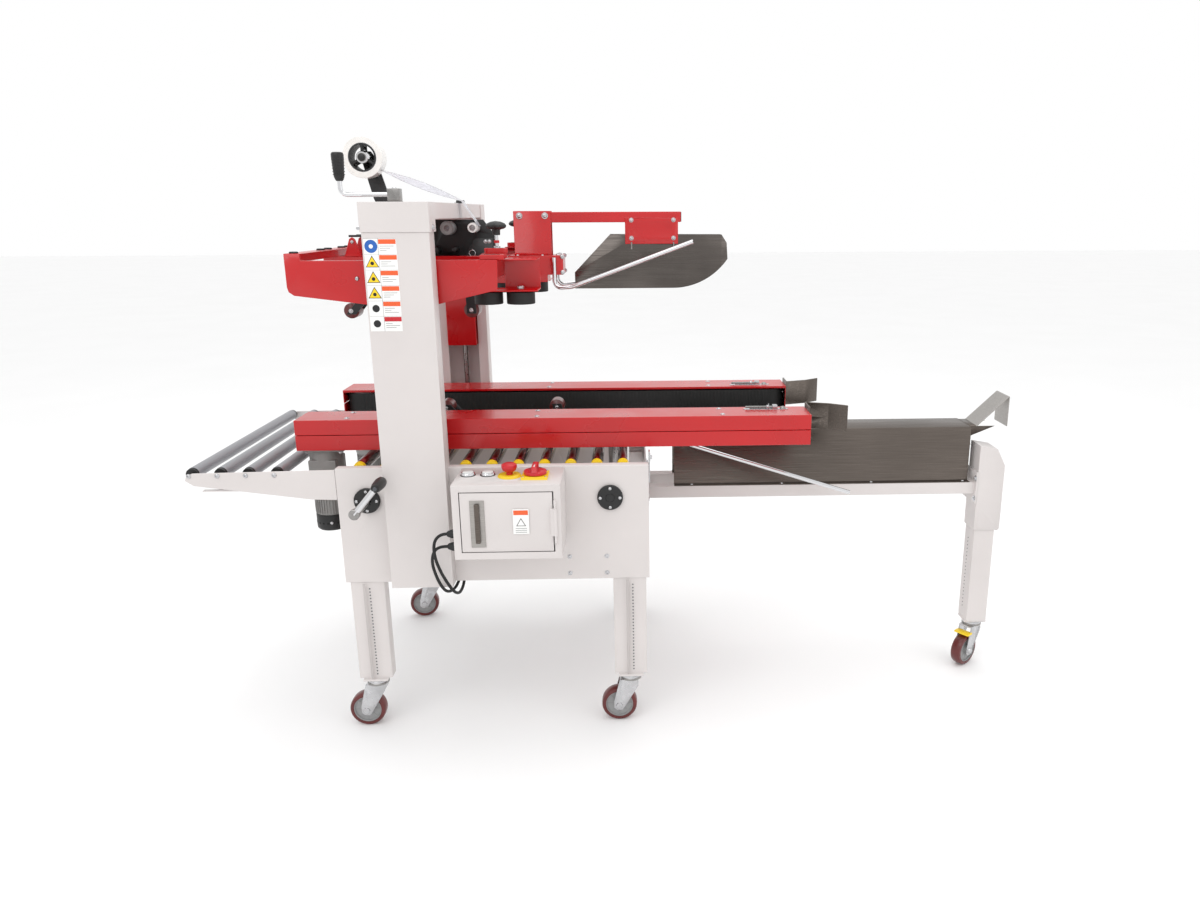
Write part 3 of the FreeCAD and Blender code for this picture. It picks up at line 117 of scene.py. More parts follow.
def remap(tree, source, low, high, from_low=0.3, from_high=0.7):
    ranged = tree.nodes.new("ShaderNodeMapRange")
    ranged.inputs["From Min"].default_value = from_low
    ranged.inputs["From Max"].default_value = from_high
    ranged.inputs["To Min"].default_value = low
    ranged.inputs["To Max"].default_value = high
    tree.links.new(source, ranged.inputs["Value"])
    return ranged.outputs["Result"]


def blend_colours(tree, factor, first, second):
    mixed = tree.nodes.new("ShaderNodeMix")
    mixed.data_type = "RGBA"
    for socket, value in (("A", first), ("B", second)):
        slot = next(s for s in mixed.inputs if s.name == socket and s.type == "RGBA")
        if isinstance(value, tuple):
            slot.default_value = value
        else:
            tree.links.new(value, slot)
    tree.links.new(factor, mixed.inputs["Factor"])
    return next(s for s in mixed.outputs if s.type == "RGBA")


def edge_wear_and_highlight_mask(tree, radius):
    """Bright where a face turns within radius of a corner, for a lighter band along edges: wear where bare
    metal shows, and a painted edge highlight on the white and red coats.
    """
    bevel = tree.nodes.new("ShaderNodeBevel")
    bevel.samples = 4
    bevel.inputs["Radius"].default_value = radius
    geometry = tree.nodes.new("ShaderNodeNewGeometry")
    dot = tree.nodes.new("ShaderNodeVectorMath")
    dot.operation = "DOT_PRODUCT"
    tree.links.new(bevel.outputs["Normal"], dot.inputs[0])
    tree.links.new(geometry.outputs["Normal"], dot.inputs[1])
    return remap(tree, dot.outputs["Value"], 1.0, 0.0, 0.86, 0.995)


def bump(tree, shader, height, distance):
    relief = tree.nodes.new("ShaderNodeBump")
    relief.inputs["Distance"].default_value = distance
    tree.links.new(height, relief.inputs["Height"])
    tree.links.new(relief.outputs["Normal"], shader.inputs["Normal"])


def shade(colour, factor):
    return tuple(min(1, part * factor) for part in colour) + (1,)


def surface(name, colour, rough, metal=0.0, vary=0.08, patch=6, grain=900, relief=0.00005, coat=0.0,
            stretch=None, wear_and_highlight_edge=None, rough_vary=0.08):
    """A finish with patches of slightly different tone, uneven gloss, fine relief and lighter edges, which
    are partly wear and partly painted highlight.
    """
    made, tree, shader = nodes_of(name)
    patches = noise(tree, patch, 4)
    tone = blend_colours(tree, remap(tree, patches, 0, 1), shade(colour, 1 - vary), shade(colour, 1 + vary))
    fine = noise(tree, grain, 2, stretch)
    if stretch:
        tone = blend_colours(tree, remap(tree, fine, 0, 0.5), tone, shade(colour, 0.55))
    # Lighter edges: wear on black paint and cast metal, and a painted edge highlight on the white and red
    # coats.
    if wear_and_highlight_edge:
        tone = blend_colours(tree, edge_wear_and_highlight_mask(tree, 0.0012), tone, shade(wear_and_highlight_edge, 1))
    tree.links.new(tone, shader.inputs["Base Color"])
    tree.links.new(remap(tree, fine if stretch else patches, rough - rough_vary, rough + rough_vary),
                   shader.inputs["Roughness"])
    shader.inputs["Metallic"].default_value = metal
    shader.inputs["Coat Weight"].default_value = coat
    shader.inputs["Coat Roughness"].default_value = 0.08
    bump(tree, shader, fine, relief)
    return made


def linear(red, green, blue):
    """An 8-bit display colour as scene-linear."""
    return tuple((part / 255 / 12.92) if part <= 10 else ((part / 255 + 0.055) / 1.055) ** 2.4
                 for part in (red, green, blue))


ALONG_X = (0.02, 1, 1)
MATERIALS = {
    # The edge colours given to white and red are painted edge highlights; on black paint and cast metal they
    # are wear.
    "white": surface("white_powder_coat", linear(212, 206, 204), 0.42, vary=0.025, grain=1400, relief=0.00012,
                     wear_and_highlight_edge=linear(226, 222, 220)),
    # A darker white that paints the shade inside the legs' grooves.
    "white_painted_groove_shade": surface("white_coat_painted_groove_shade", linear(186, 180, 178), 0.5, vary=0.03,
                            grain=1400),
    "red": surface("red_powder_coat", linear(188, 6, 14), 0.3, vary=0.06, grain=700, relief=0.00004,
                   coat=0.25, wear_and_highlight_edge=linear(204, 26, 30)),
    "stainless": surface("brushed_stainless", linear(108, 100, 94), 0.34, metal=1.0, vary=0.16, patch=3,
                         grain=420, relief=0.00003, stretch=ALONG_X, rough_vary=0.1),
    "light_stainless": surface("light_stainless_sheet", linear(176, 172, 168), 0.38, metal=0.9, vary=0.08,
                               grain=420, relief=0.00003, stretch=ALONG_X),
    "blade": surface("blade_stainless", linear(104, 98, 94), 0.3, metal=1.0, vary=0.3, patch=4, grain=420,
                     relief=0.00003, stretch=ALONG_X, rough_vary=0.1),
    "roller": surface("polished_roller_tube", linear(176, 170, 168), 0.14, metal=1.0, vary=0.1,
                      rough_vary=0.06),
    "zinc": surface("zinc_plated_tube", linear(158, 159, 163), 0.5, metal=0.5, vary=0.05, patch=20,
                    grain=500),
    "bright": surface("bright_zinc_plate", linear(196, 196, 198), 0.25, metal=1.0, vary=0.12, patch=40),
    "chrome": surface("chrome_plate", linear(214, 214, 216), 0.1, metal=1.0, vary=0.05, rough_vary=0.04),
    "steel": surface("turned_steel", linear(150, 148, 146), 0.3, metal=1.0, vary=0.15, patch=60),
    "black_metal": surface("satin_black_paint", linear(24, 24, 25), 0.4, vary=0.2, grain=900,
                           wear_and_highlight_edge=linear(62, 62, 64)),
    "black_plastic": surface("black_moulded_plastic", linear(22, 22, 23), 0.45, vary=0.15, grain=1600,
                             relief=0.0001),
    "rubber": surface("black_rubber", linear(20, 20, 20), 0.62, vary=0.25, patch=25, grain=1200,
                      relief=0.0002),
    "cast": surface("grey_cast_housing", linear(142, 140, 138), 0.48, metal=0.35, vary=0.1, patch=14,
                    grain=600, relief=0.0002, wear_and_highlight_edge=linear(180, 178, 176)),
    "tyre": surface("dark_red_polyurethane", linear(92, 26, 24), 0.35, vary=0.2, patch=30, coat=0.25),
    "hub": surface("grey_hub_plastic", linear(150, 150, 150), 0.4, vary=0.1, grain=900),
    "yellow": surface("yellow_plastic", linear(246, 208, 24), 0.32, vary=0.05, grain=900, coat=0.2),
    "red_plastic": surface("red_moulded_plastic", linear(198, 26, 36), 0.34, vary=0.08, grain=900, coat=0.15),
    "clear": surface("milky_button_plastic", linear(226, 228, 226), 0.35, vary=0.04, grain=900, coat=0.1),
    # Near-black standing for openings: painted shade inside holes, vents and slots.
    "painted_hole_shade": surface("painted_hole_shade", linear(12, 12, 12), 0.8, vary=0.1),
    "label": surface("label_film", linear(240, 240, 238), 0.3, vary=0.02, coat=0.3),
    "label_blue": surface("label_blue_ink", linear(24, 92, 176), 0.3, vary=0.04, coat=0.3),
    "label_orange": surface("label_orange_ink", linear(232, 92, 36), 0.3, vary=0.04, coat=0.3),
    "label_grey": surface("label_grey_ink", linear(150, 152, 152), 0.3, vary=0.05, coat=0.3),
    "instrument": surface("grey_instrument", linear(92, 94, 98), 0.35, metal=0.8, vary=0.1),
}


def film_material(name, colour, alpha):
    made, tree, shader = nodes_of(name)
    wound = noise(tree, 40, 2, (1, 3, 1))
    tree.links.new(blend_colours(tree, remap(tree, wound, 0, 1), shade(colour, 0.93), shade(colour, 1.03)),
                   shader.inputs["Base Color"])
    tree.links.new(remap(tree, wound, 0.14, 0.26), shader.inputs["Roughness"])
    shader.inputs["Coat Weight"].default_value = 0.5
    shader.inputs["Transmission Weight"].default_value = alpha
    return made


MATERIALS["tape"] = film_material("wound_packing_tape", linear(236, 234, 230), 0.0)
MATERIALS["film"] = film_material("clear_tape_film", linear(236, 236, 242), 0.1)


# ---------------------------------------------------------------- mesh building

class Piece:
    """Collects geometry in machine millimetres, each part with a material, for one object."""

    def __init__(self, name):
        self.name = name
        self.mesh = bmesh.new()
        self.finishes = []

    def index(self, finish):
        if finish not in self.finishes:
            self.finishes.append(finish)
        return self.finishes.index(finish)

    def add(self, verts, faces, finish, smooth=False):
        made = [self.mesh.verts.new(at(*place)) for place in verts]
        number = self.index(finish)
        built = []
        for face in faces:
            polygon = self.mesh.faces.new([made[i] for i in face])
            polygon.material_index = number
            polygon.smooth = smooth
            built.append(polygon)
        return built

    def lathe(self, where, axis, profile, finish, sides=28, smooth=True, lobes=0, depth=0):
        """A turned part: profile is (distance along axis, radius) pairs. lobes makes it wavy."""
        way = Vector(axis).normalized()
        side = way.orthogonal().normalized()
        across = way.cross(side)
        verts = []
        faces = []
        rows = []
        for along, radius in profile:
            row = []
            count = sides if radius > 1e-6 else 1
            for step in range(count):
                turn = 2 * math.pi * step / sides
                wide = radius * (1 + depth * math.cos(lobes * turn))
                place = Vector(where) + way * along + (side * math.cos(turn) + across * math.sin(turn)) * wide
                row.append(len(verts))
                verts.append(tuple(place))
            rows.append(row)
        for low, high in zip(rows, rows[1:]):
            for step in range(sides):
                after = (step + 1) % sides
                if len(low) == 1 and len(high) == 1:
                    continue
                if len(low) == 1:
                    faces.append((low[0], high[after], high[step]))
                elif len(high) == 1:
                    faces.append((low[step], low[after], high[0]))
                else:
                    faces.append((low[step], low[after], high[after], high[step]))
        self.add(verts, faces, finish, smooth)

    def disc(self, where, axis, radius, height, finish, edge=0.6, sides=28):
        """A short round part with a small chamfer round its outer edge."""
        self.lathe(where, axis, [(0, 0), (0, radius), (height - edge, radius), (height, radius - edge),
                                 (height, 0)], finish, sides)

    def ring(self, where, axis, outer, inner, height, finish, edge=0.6, sides=36):
        self.lathe(where, axis, [(0, inner), (0, outer), (height - edge, outer), (height, outer - edge),
                                 (height, inner + edge), (height - edge, inner), (0, inner)], finish, sides)

    def box(self, low, high, finish, edge=0.8):
        """A block with its twelve edges chamfered."""
        made = bmesh.new()
        bmesh.ops.create_cube(made, size=1)
        size = Vector(high) - Vector(low)
        middle = (Vector(high) + Vector(low)) / 2
        for vert in made.verts:
            vert.co = Vector((vert.co.x * size.x, vert.co.y * size.y, vert.co.z * size.z)) + middle
        edge = min(edge, 0.3 * min(abs(part) for part in size))
        bmesh.ops.bevel(made, geom=made.edges[:], offset=edge, segments=2, affect="EDGES", profile=0.5)
        self.take(made, finish)

    def take(self, made, finish, turn=None):
        """Copy a bmesh drawn in millimetres into the piece."""
        made.verts.index_update()
        places = [turn @ vert.co if turn else vert.co for vert in made.verts]
        faces = [[vert.index for vert in face.verts] for face in made.faces]
        self.add([tuple(place) for place in places], faces, finish)
        made.free()

    def plate(self, outline, low, high, finish, plane="xz", edge=0.6):
        """An outline pulled out between two levels of the third axis, with chamfered rims."""
        made = bmesh.new()
        orders = {"xz": lambda u, v, w: (u, w, v), "xy": lambda u, v, w: (u, v, w)}
        order = orders[plane]
        base = [made.verts.new(order(u, v, low)) for u, v in outline]
        bottom = made.faces.new(base)
        lifted = bmesh.ops.extrude_face_region(made, geom=[bottom])
        shift = Vector(order(0, 0, high - low))
        for vert in [item for item in lifted["geom"] if isinstance(item, bmesh.types.BMVert)]:
            vert.co += shift
        bmesh.ops.recalc_face_normals(made, faces=made.faces[:])
        if edge:
            rims = [line for line in made.edges
                    if abs((line.verts[0].co - line.verts[1].co).dot(shift)) < 1e-6]
            bmesh.ops.bevel(made, geom=rims, offset=edge, segments=1, affect="EDGES", profile=0.5)
        self.take(made, finish)

    def tube(self, points, radius, finish, sides=16, closed=True):
        """A round bar through points, with mitred turns."""
        places = [Vector(point) for point in points]
        rows = []
        verts = []
        normal = None
        for index, place in enumerate(places):
            before = places[max(index - 1, 0)]
            after = places[min(index + 1, len(places) - 1)]
            way = (after - before).normalized()
            if normal is None:
                normal = way.orthogonal().normalized()
            normal = (normal - way * normal.dot(way)).normalized()
            across = way.cross(normal)
            row = []
            for step in range(sides):
                turn = 2 * math.pi * step / sides
                row.append(len(verts))
                verts.append(tuple(place + (normal * math.cos(turn) + across * math.sin(turn)) * radius))
            rows.append(row)
        faces = []
        for low, high in zip(rows, rows[1:]):
            for step in range(sides):
                after = (step + 1) % sides
                faces.append((low[step], low[after], high[after], high[step]))
        if closed:
            faces.append(tuple(reversed(rows[0])))
            faces.append(tuple(rows[-1]))
        built = self.add(verts, faces, finish, True)
        for cap in built[-2:] if closed else []:
            cap.smooth = False

    def hex_bolt(self, where, axis, across=8, height=4, washer=True, finish="bright"):
        start = Vector(where)
        way = Vector(axis).normalized()
        if washer:
            self.disc(start, way, across * 0.95, 1.2, finish, 0.3, 24)
            start = start + way * 1.2
        radius = across / math.sqrt(3)
        self.lathe(start, way, [(0, 0), (0, radius), (height - 0.8, radius), (height, radius * 0.88),
                                (height, 0)], finish, 6, False)

    def cap_screw(self, where, axis, radius=5, height=4, finish="bright"):
        """A button head with a hexagon socket."""
        way = Vector(axis).normalized()
        self.lathe(where, way, [(0, 0), (0, radius), (height * 0.35, radius), (height * 0.75, radius * 0.82),
                                (height, radius * 0.52), (height, radius * 0.42),
                                (height * 0.45, radius * 0.4), (height * 0.45, 0)], finish, 18)

    def dome(self, where, axis, radius, height, finish, sides=24):
        steps = 6
        turns = [math.pi / 2 * step / steps for step in range(steps)]
        curve = [(height * math.sin(turn), radius * math.cos(turn)) for turn in turns]
        self.lathe(where, axis, [(0, 0)] + curve + [(height, 0)], finish, sides)

    def finish(self, body, slot=None, replaces=(), sharp=35):
        bmesh.ops.recalc_face_normals(self.mesh, faces=self.mesh.faces[:])
        data = bpy.data.meshes.new(self.name)
        self.mesh.to_mesh(data)
        self.mesh.free()
        for name in self.finishes:
            data.materials.append(MATERIALS[name])
        data.set_sharp_from_angle(angle=math.radians(sharp))
        obj = linked(self.name, data)
        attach(obj, body)
        if replaces:
            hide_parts(*replaces)


# ---------------------------------------------------------------- CAD nodes with their own finish

JOINTS = {joint["name"]: joint for joint in frame["joints"]}


def paint(mesh, finish, choose=None):
    """Gives a mesh its materials. choose names another finish for a face, by its middle."""
    names = [finish]
    mesh.materials.clear()
    mesh.materials.append(MATERIALS[finish])
    for polygon in mesh.polygons:
        wanted = (choose((polygon.center - ZERO) * 1000) if choose else None) or finish
        if wanted not in names:
            names.append(wanted)
            mesh.materials.append(MATERIALS[wanted])
        polygon.material_index = names.index(wanted)


def dress(node, finish, choose=None):
    """A CAD node that stays as it is, in a better material."""
    paint(frame["nodes"][node].data, finish, choose)


def eased(node, finish, edge=0.8, choose=None, short=0):
    """The node's own shape with its flat faces joined up and every sharp edge chamfered."""
    source = frame["nodes"][node]
    made = bmesh.new()
    made.from_mesh(source.data)
    bmesh.ops.remove_doubles(made, verts=made.verts, dist=2e-6)
    bmesh.ops.dissolve_limit(made, angle_limit=math.radians(1), verts=made.verts, edges=made.edges)
    sharp = [line for line in made.edges if len(line.link_faces) == 2
             and line.calc_length() > short and line.calc_face_angle(0) > math.radians(40)]
    bmesh.ops.bevel(made, geom=sharp, offset=edge / 1000, segments=1, affect="EDGES", profile=0.5,
                    clamp_overlap=False)
    bmesh.ops.triangulate(made, faces=[face for face in made.faces if len(face.verts) > 4])
    data = bpy.data.meshes.new(node + "_eased")
    made.to_mesh(data)
    made.free()
    for polygon in data.polygons:
        polygon.use_smooth = True
    data.set_sharp_from_angle(angle=math.radians(30))
    paint(data, finish, choose)
    obj = linked(node + "_eased", data)
    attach(obj, source["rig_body"])
    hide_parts(node)


# ---------------------------------------------------------------- bed, mast and legs

PLATE_FACE = 379
SHAFT_Z = 670
CRANK_SHAFT_X = -700
GUIDE_SHAFT_X = -62


def frame_metalwork():
    def cross_parts(place):
        if abs(place.x - GUIDE_SHAFT_X) < 11 and abs(place.z - SHAFT_Z) < 11:
            return "steel"
        in_junction_box = -501 < place.x < -439 and place.y < -269 and place.z < 501
        return "black_plastic" if in_junction_box else None

    eased("side_plates", "white", 1.0)
    eased("bed_cross_members", "white", 0.8, cross_parts)
    eased("outfeed_arms", "white", 0.8)
    eased("columns", "white", 1.0)
    eased("top_beam", "white", 1.0)
    eased("infeed_rails", "white", 0.8)
    eased("leg_tubes", "white", 1.0)
    eased("infeed_trough", "stainless", 0.5, lambda place: "light_stainless" if place.z > 774.5 else None)
    eased("tape_roll_arm", "black_metal", 0.6)
    dress("roller_axles", "steel")
    dress("lower_flap_rods", "chrome")
    dress("upper_flap_rods", "chrome")
    dress("front_lead_screw", "steel")
    dress("rear_lead_screw", "steel")


def rollers():
    def caps(place):
        return "yellow" if abs(place.y) > 336 or 61 < abs(place.y) < 74 else None

    def plugs(place):
        return "black_plastic" if abs(place.y) > 351.9 else None

    dress("bed_rollers", "roller", caps)
    for number in range(1, 5):
        dress(f"outfeed_roller_{number}", "zinc", plugs)


def bed_fasteners():
    """Shaft flanges with their screws, and the bolts of the side plates, arms and infeed rails."""
    piece = Piece("bed_flanges_and_screws")
    for side in (-1, 1):
        out = (0, side, 0)
        face = side * PLATE_FACE
        for x in (CRANK_SHAFT_X, GUIDE_SHAFT_X):
            piece.ring((x, face, SHAFT_Z), out, 34, 10.2, 9.4, "black_plastic", 1.6, 48)
            if x == GUIDE_SHAFT_X:
                piece.disc((x, face + side * 9, SHAFT_Z), out, 11, 0.8, "black_plastic", 0.3)
            for quarter in range(4):
                turn = math.pi / 2 * quarter
                place = (x + 26 * math.sin(turn), face + side * 9, SHAFT_Z + 26 * math.cos(turn))
                piece.cap_screw(place, out, 4.6, 3.6)
        for x in (-174, -74):
            for z in (455, 503):
                piece.disc((x, face, z), out, 6.6, 1, "bright", 0.3)
                piece.cap_screw((x, face + side, z), out, 4.8, 2.8)
        for number in range(4):
            piece.cap_screw((-1154 + 73 * number, face, 742), out, 6.4, 4)
    for y in (-121, 121):
        for z in (578, 598):
            piece.hex_bolt((41, y, z), (1, 0, 0), 12, 4.6)
    piece.finish("frame", "black_steel", ["flanges_and_bolts"])


def triangle(x, z, size):
    """Corners of a triangle about a middle, one corner up."""
    return [(x + size * math.cos(math.radians(turn)), z + size * math.sin(math.radians(turn)))
            for turn in (90, 210, 330)]


def oval(x0, x1, y, half, steps=8):
    """Outline of a slot from x0 to x1, with round ends."""
    points = []
    for centre, start in ((x1 - half, -90), (x0 + half, 90)):
        for step in range(steps + 1):
            turn = math.radians(start + 180 * step / steps)
            points.append((centre + half * math.cos(turn), y + half * math.sin(turn)))
    return points


def column_trim():
    """Cap bolts, the cap's joint line and a blank pictogram strip on the front column."""
    piece = Piece("column_trim")
    for side in (-1, 1):
        piece.cap_screw((-650, side * 420, 1366), (0, side, 0), 4.5, 0.9, "bright")
        for x, way in ((-480, 1), (-648, -1)):
            piece.hex_bolt((x, side * 384, 1366), (way, 0, 0), 10, 4)
        piece.hex_bolt((-498, side * 384, 1362), (1, 0, 0), 6, 1.5, False)
    piece.lathe((-548, 370, 1427), (0, 0, 1), [(0, 0), (0, 14), (10, 14), (13, 12.5), (14, 0)],
                "black_plastic", 24)
    piece.finish("frame", "bright_steel")

    strip = Piece("label_strip")
    left, right, top, bottom = -641, -563, 1342, 1119
    face = span_of("columns")[0].y
    strip.box((left, face - 0.5, bottom), (right, face + 0.2, top), "label", 0.1)
    row_high = (top - bottom) / 6
    middle = left + 0.44 * (right - left)
    inks = ("label_blue", "yellow", "yellow", "yellow", "label_grey", "label_grey")
    for row, ink in enumerate(inks):
        row_top = top - row * row_high
        header = "label_orange" if row < 5 else "red_plastic"
        strip.box((middle + 1, face - 0.8, row_top - 13), (right - 1, face - 0.4, row_top - 2), header, 0.05)
        strip.box((left, face - 0.7, row_top - 0.5), (right, face - 0.4, row_top), "label_grey", 0.05)
        for line in range(3):
            z = row_top - 18 - 5 * line
            end = right - 6 - 9 * ((row + line) % 3)
            strip.box((middle + 4, face - 0.7, z - 0.6), (end, face - 0.4, z + 0.6), "label_grey", 0.05)
        centre = ((left + middle) / 2, row_top - row_high / 2)
        if row == 0:
            strip.disc((centre[0], face - 0.4, centre[1]), (0, -1, 0), 15.5, 0.4, ink, 0.1, 32)
            strip.disc((centre[0], face - 0.7, centre[1]), (0, -1, 0), 5, 0.3, "label", 0.1, 24)
        elif ink == "yellow":
            for size, depth, colour in ((18.5, 0.3, "black_plastic"), (15.5, 0.5, ink)):
                corners = triangle(centre[0], centre[1] - 3, size)
                strip.plate(corners, face - 0.4 - depth, face - 0.4, colour, "xz", 0)
            strip.disc((centre[0], face - 0.8, centre[1] - 3), (0, -1, 0), 4.4, 0.3, "black_plastic", 0.1, 16)
        else:
            strip.disc((centre[0], face - 0.4, centre[1]), (0, -1, 0), 9, 0.4, "black_plastic", 0.1, 20)
    strip.box((middle - 0.4, face - 0.7, bottom), (middle + 0.4, face - 0.4, top), "label_grey", 0.05)
    strip.finish("frame", "white_coat")


def leg_details():
    """The folded groove and the row of height holes on each leg's outer face, drawn as a darker strip and
    grey discs of painted shade.
    """
    piece = Piece("leg_grooves_and_holes")
    for x, y, way in ((-722, -386, -1), (-13, -386, -1), (-722, 386, 1), (-13, 386, 1)):
        # A thin darker strip stands for the groove: its colour is painted shade.
        piece.box((x - 10, y - 0.3, 152), (x - 3, y + 0.3, 436), "white_painted_groove_shade", 0.15)
        for number in range(28):
            # Grey discs stand for the height holes: their grey is painted shade inside the holes.
            hole_shade_disc = (x + 8, y - way * 0.2, 168 + 9.4 * number)
            piece.disc(hole_shade_disc, (0, way, 0), 2.1, 0.6, "instrument", 0.2, 12)
    # Dark discs for a row of holes in the infeed end's leg: painted hole shade.
    for number in range(20):
        piece.disc((1039.2, -58, 190 + 12 * number), (-1, 0, 0), 1.8, 0.6, "painted_hole_shade", 0.2, 12)
    piece.finish("legs", "white_coat")


def mast_crank():
    """Bent chrome arm in a square hub, with a moulded grip."""
    piece = Piece("mast_crank_detail")
    x, y, top = -564, -391, 1427
    grip_x = x - 128
    piece.box((x - 14.6, y - 14.6, top + 1.3), (x + 14.6, y + 14.6, top + 30.6), "steel", 1.2)
    bend = [(grip_x + 16 - 16 * math.sin(turn), y, top + 17 + 16 - 16 * math.cos(turn))
            for turn in [math.pi / 16 * step for step in range(9)]]
    piece.tube([(x - 10, y, top + 17)] + bend + [(grip_x, y, top + 60)], 5.4, "chrome")
    piece.lathe((grip_x, y, top + 48), (0, 0, 1),
                [(0, 0), (0, 7), (3, 9.5), (10, 12.2), (30, 13.4), (55, 14.6), (61, 14.7), (64.5, 13.2),
                 (66, 10), (66, 4), (64.5, 0)], "black_plastic", 36)
    for step in range(6):
        piece.ring((grip_x, y, top + 62 + 7 * step), (0, 0, 1), 14.2 + 0.12 * step, 12, 1.6,
                   "black_plastic", 0.5)
    piece.cap_screw((x, y, top + 30.6), (0, 0, 1), 6, 3)
    piece.finish("front_screw", "bright_steel", ["mast_crank"])


def width_crank():
    """Transverse screw, its lever and the black grip."""
    piece = Piece("width_crank_detail")
    x, z = CRANK_SHAFT_X, SHAFT_Z
    piece.tube([(x, -497, z), (x, 378, z)], 9.9, "steel", 24)
    piece.lathe((x, -500.5, z), (0, 1, 0),
                [(0, 0), (0, 12), (1.5, 13.8), (13, 13.8), (14.5, 12), (14.5, 0)], "steel")
    tip = (x + 58, -493, z + 68)
    piece.tube([(x, -493, z), tip], 7.8, "chrome", 20)
    piece.lathe((tip[0], -501, tip[2]), (0, 1, 0),
                [(0, 0), (0.3, 8), (2, 10.6), (8, 11.6), (14, 13), (40, 14.8), (50, 15), (64, 13.2),
                 (71, 9), (73, 5), (73, 0)], "black_plastic", 36)
    piece.cap_screw((tip[0], -501, tip[2]), (0, -1, 0), 5, 1.6, "instrument")
    for turn in range(8):
        piece.ring((x, -470 + 9 * turn, z), (0, 1, 0), 10.3, 9, 4.2, "steel", 1.2, 24)
    piece.finish("width_screw", "bright_steel", ["width_crank"])


# ---------------------------------------------------------------- casters

def joint_place(name):
    joint = JOINTS[name]
    return (Vector(joint["pos_m"]) - ZERO) * 1000, Vector(joint["axis"])


def casters():
    for number in range(1, 6):
        eased(f"caster_fork_{number}", "bright", 0.6)
        centre, way = joint_place(f"wheel_{number}_spin")
        post, _ = joint_place(f"swivel_{number}")
        race = Piece(f"caster_race_{number}")
        race.ring((post.x, post.y, 129), (0, 0, 1), 29.5, 24, 6, "steel", 1.4, 40)
        race.ring((post.x, post.y, 137), (0, 0, 1), 28.6, 24, 5, "bright", 1.4, 40)
        if number == 5:
            side = Vector((way.y, -way.x, 0)).normalized()
            pedal = centre + Vector((0, 0, 24)) - side * 8
            middle = Matrix.Rotation(math.atan2(way.y, way.x), 4, "Z")
            block = bmesh.new()
            bmesh.ops.create_cube(block, size=1)
            for vert in block.verts:
                vert.co = Vector((vert.co.x * 50, vert.co.y * 26, vert.co.z * 7))
            bmesh.ops.bevel(block, geom=block.edges[:], offset=2.4, segments=2, affect="EDGES", profile=0.5)
            race.take(block, "yellow", Matrix.Translation(pedal + Vector((0, 0, 34))) @ middle)
        race.finish(f"swivel_{number}", "bright_steel")
        wheel(number, centre, way)


def wheel(number, centre, way):
    """A red tyre on a grey hub with a ribbed web and steel bearing faces."""
    piece = Piece(f"caster_wheel_detail_{number}")
    tyre = [(-15.6, 38.6), (-15.8, 44), (-14.4, 47.6), (-11, 49.4), (0, 49.9), (11, 49.4), (14.4, 47.6),
            (15.8, 44), (15.6, 38.6)]
    piece.lathe(centre, way, tyre, "tyre", 72)
    for side in (-1, 1):
        out = way * side
        piece.ring(centre, out, 39.2, 6.3, 10, "hub", 0.6, 60)
        piece.ring(centre + out * 9, out, 39.2, 35.6, 6, "hub", 1.4, 60)
        piece.ring(centre + out * 9, out, 15, 6.4, 8.6, "hub", 1.2, 40)
        piece.ring(centre + out * 16.4, out, 11, 6.4, 1.4, "steel", 0.4, 32)
        across = way.orthogonal().normalized()
        for spoke in range(8):
            arm = Matrix.Rotation(math.pi / 4 * spoke, 3, way) @ across
            piece.tube([centre + out * 9.5 + arm * 14, centre + out * 9.5 + arm * 36], 1.7, "hub", 8)
    piece.finish(f"wheel_{number}", "red_tyre", [f"caster_wheel_{number}"])


# ---------------------------------------------------------------- belt units

def belt_units():
    def housing_parts(place):
        if place.x > 490.5:
            return "stainless"
        idler_bay = abs(abs(place.y) - 204) < 47.5 and place.x > 380 and 788 < place.z < 852
        return "steel" if place.z < 777 or idler_bay else None

    for name, side in (("front", -1), ("rear", 1)):
        eased(f"{name}_belt_housing", "red", 1.0, housing_parts)
        belt_unit_trim(name, side)
        motor(name, side)
        flat_belt(name, side)
        dress(f"{name}_drive_pulley", "cast", lambda place: "steel" if place.z < 789 else None)


def belt_unit_trim(name, side):
    """Screws in the cover's top and the belt tensioner at its infeed end."""
    piece = Piece(f"{name}_belt_cover_trim")
    top = 862
    for x in (-780, -266, 244):
        for y in (176, 247):
            place_x = x + (4 if y > 200 else 0)
            piece.dome((place_x, side * y, top), (0, 0, 1), 5.6, 3.6, "bright", 20)
            piece.ring((place_x, side * y, top - 0.2), (0, 0, 1), 7.6, 4, 0.9, "bright", 0.3, 24)
    piece.plate(oval(312, 440, side * 185, 9), top - 0.2, top + 1.2, "bright", "xy", 0.4)
    # Dark slot plate: painted shade inside the tensioner's slot.
    piece.plate(oval(330, 412, side * 185, 3.4), top + 1.1, top + 1.5, "painted_hole_shade", "xy", 0)
    piece.tube([(318, side * 185, top + 6), (398, side * 185, top + 6)], 3, "steel", 14)
    for turn in range(16):
        piece.ring((322 + 4 * turn, side * 185, top + 6), (1, 0, 0), 3.5, 2, 1.6, "steel", 0.5, 14)
    piece.box((394, side * 185 - 8, top), (408, side * 185 + 8, top + 12), "bright", 1)
    piece.hex_bolt((384, side * 185, top + 6), (-1, 0, 0), 10, 5)
    piece.dome((424, side * 185, top + 1.2), (0, 0, 1), 8.5, 7, "steel", 24)
    for x in (-912, 491):
        way = -1 if x < 0 else 1
        for z in (796, 846):
            piece.cap_screw((x, side * 258, z), (way, 0, 0), 4, 2.4)
    piece.finish(f"{name}_belt_unit", "red_coat")


def flat_belt(name, side):
    """The belt's band with fine cross ribs on its outer face."""
    eased(f"{name}_belt", "rubber", 0.6)
    piece = Piece(f"{name}_belt_ribs")
    inner = side * 153
    for step in range(118):
        x = -850 + 10.9 * step
        piece.box((x, inner - 0.25, 791), (x + 4.6, inner + 0.25, 849), "rubber", 0.1)
    piece.finish(f"{name}_belt_unit", "black_rubber")


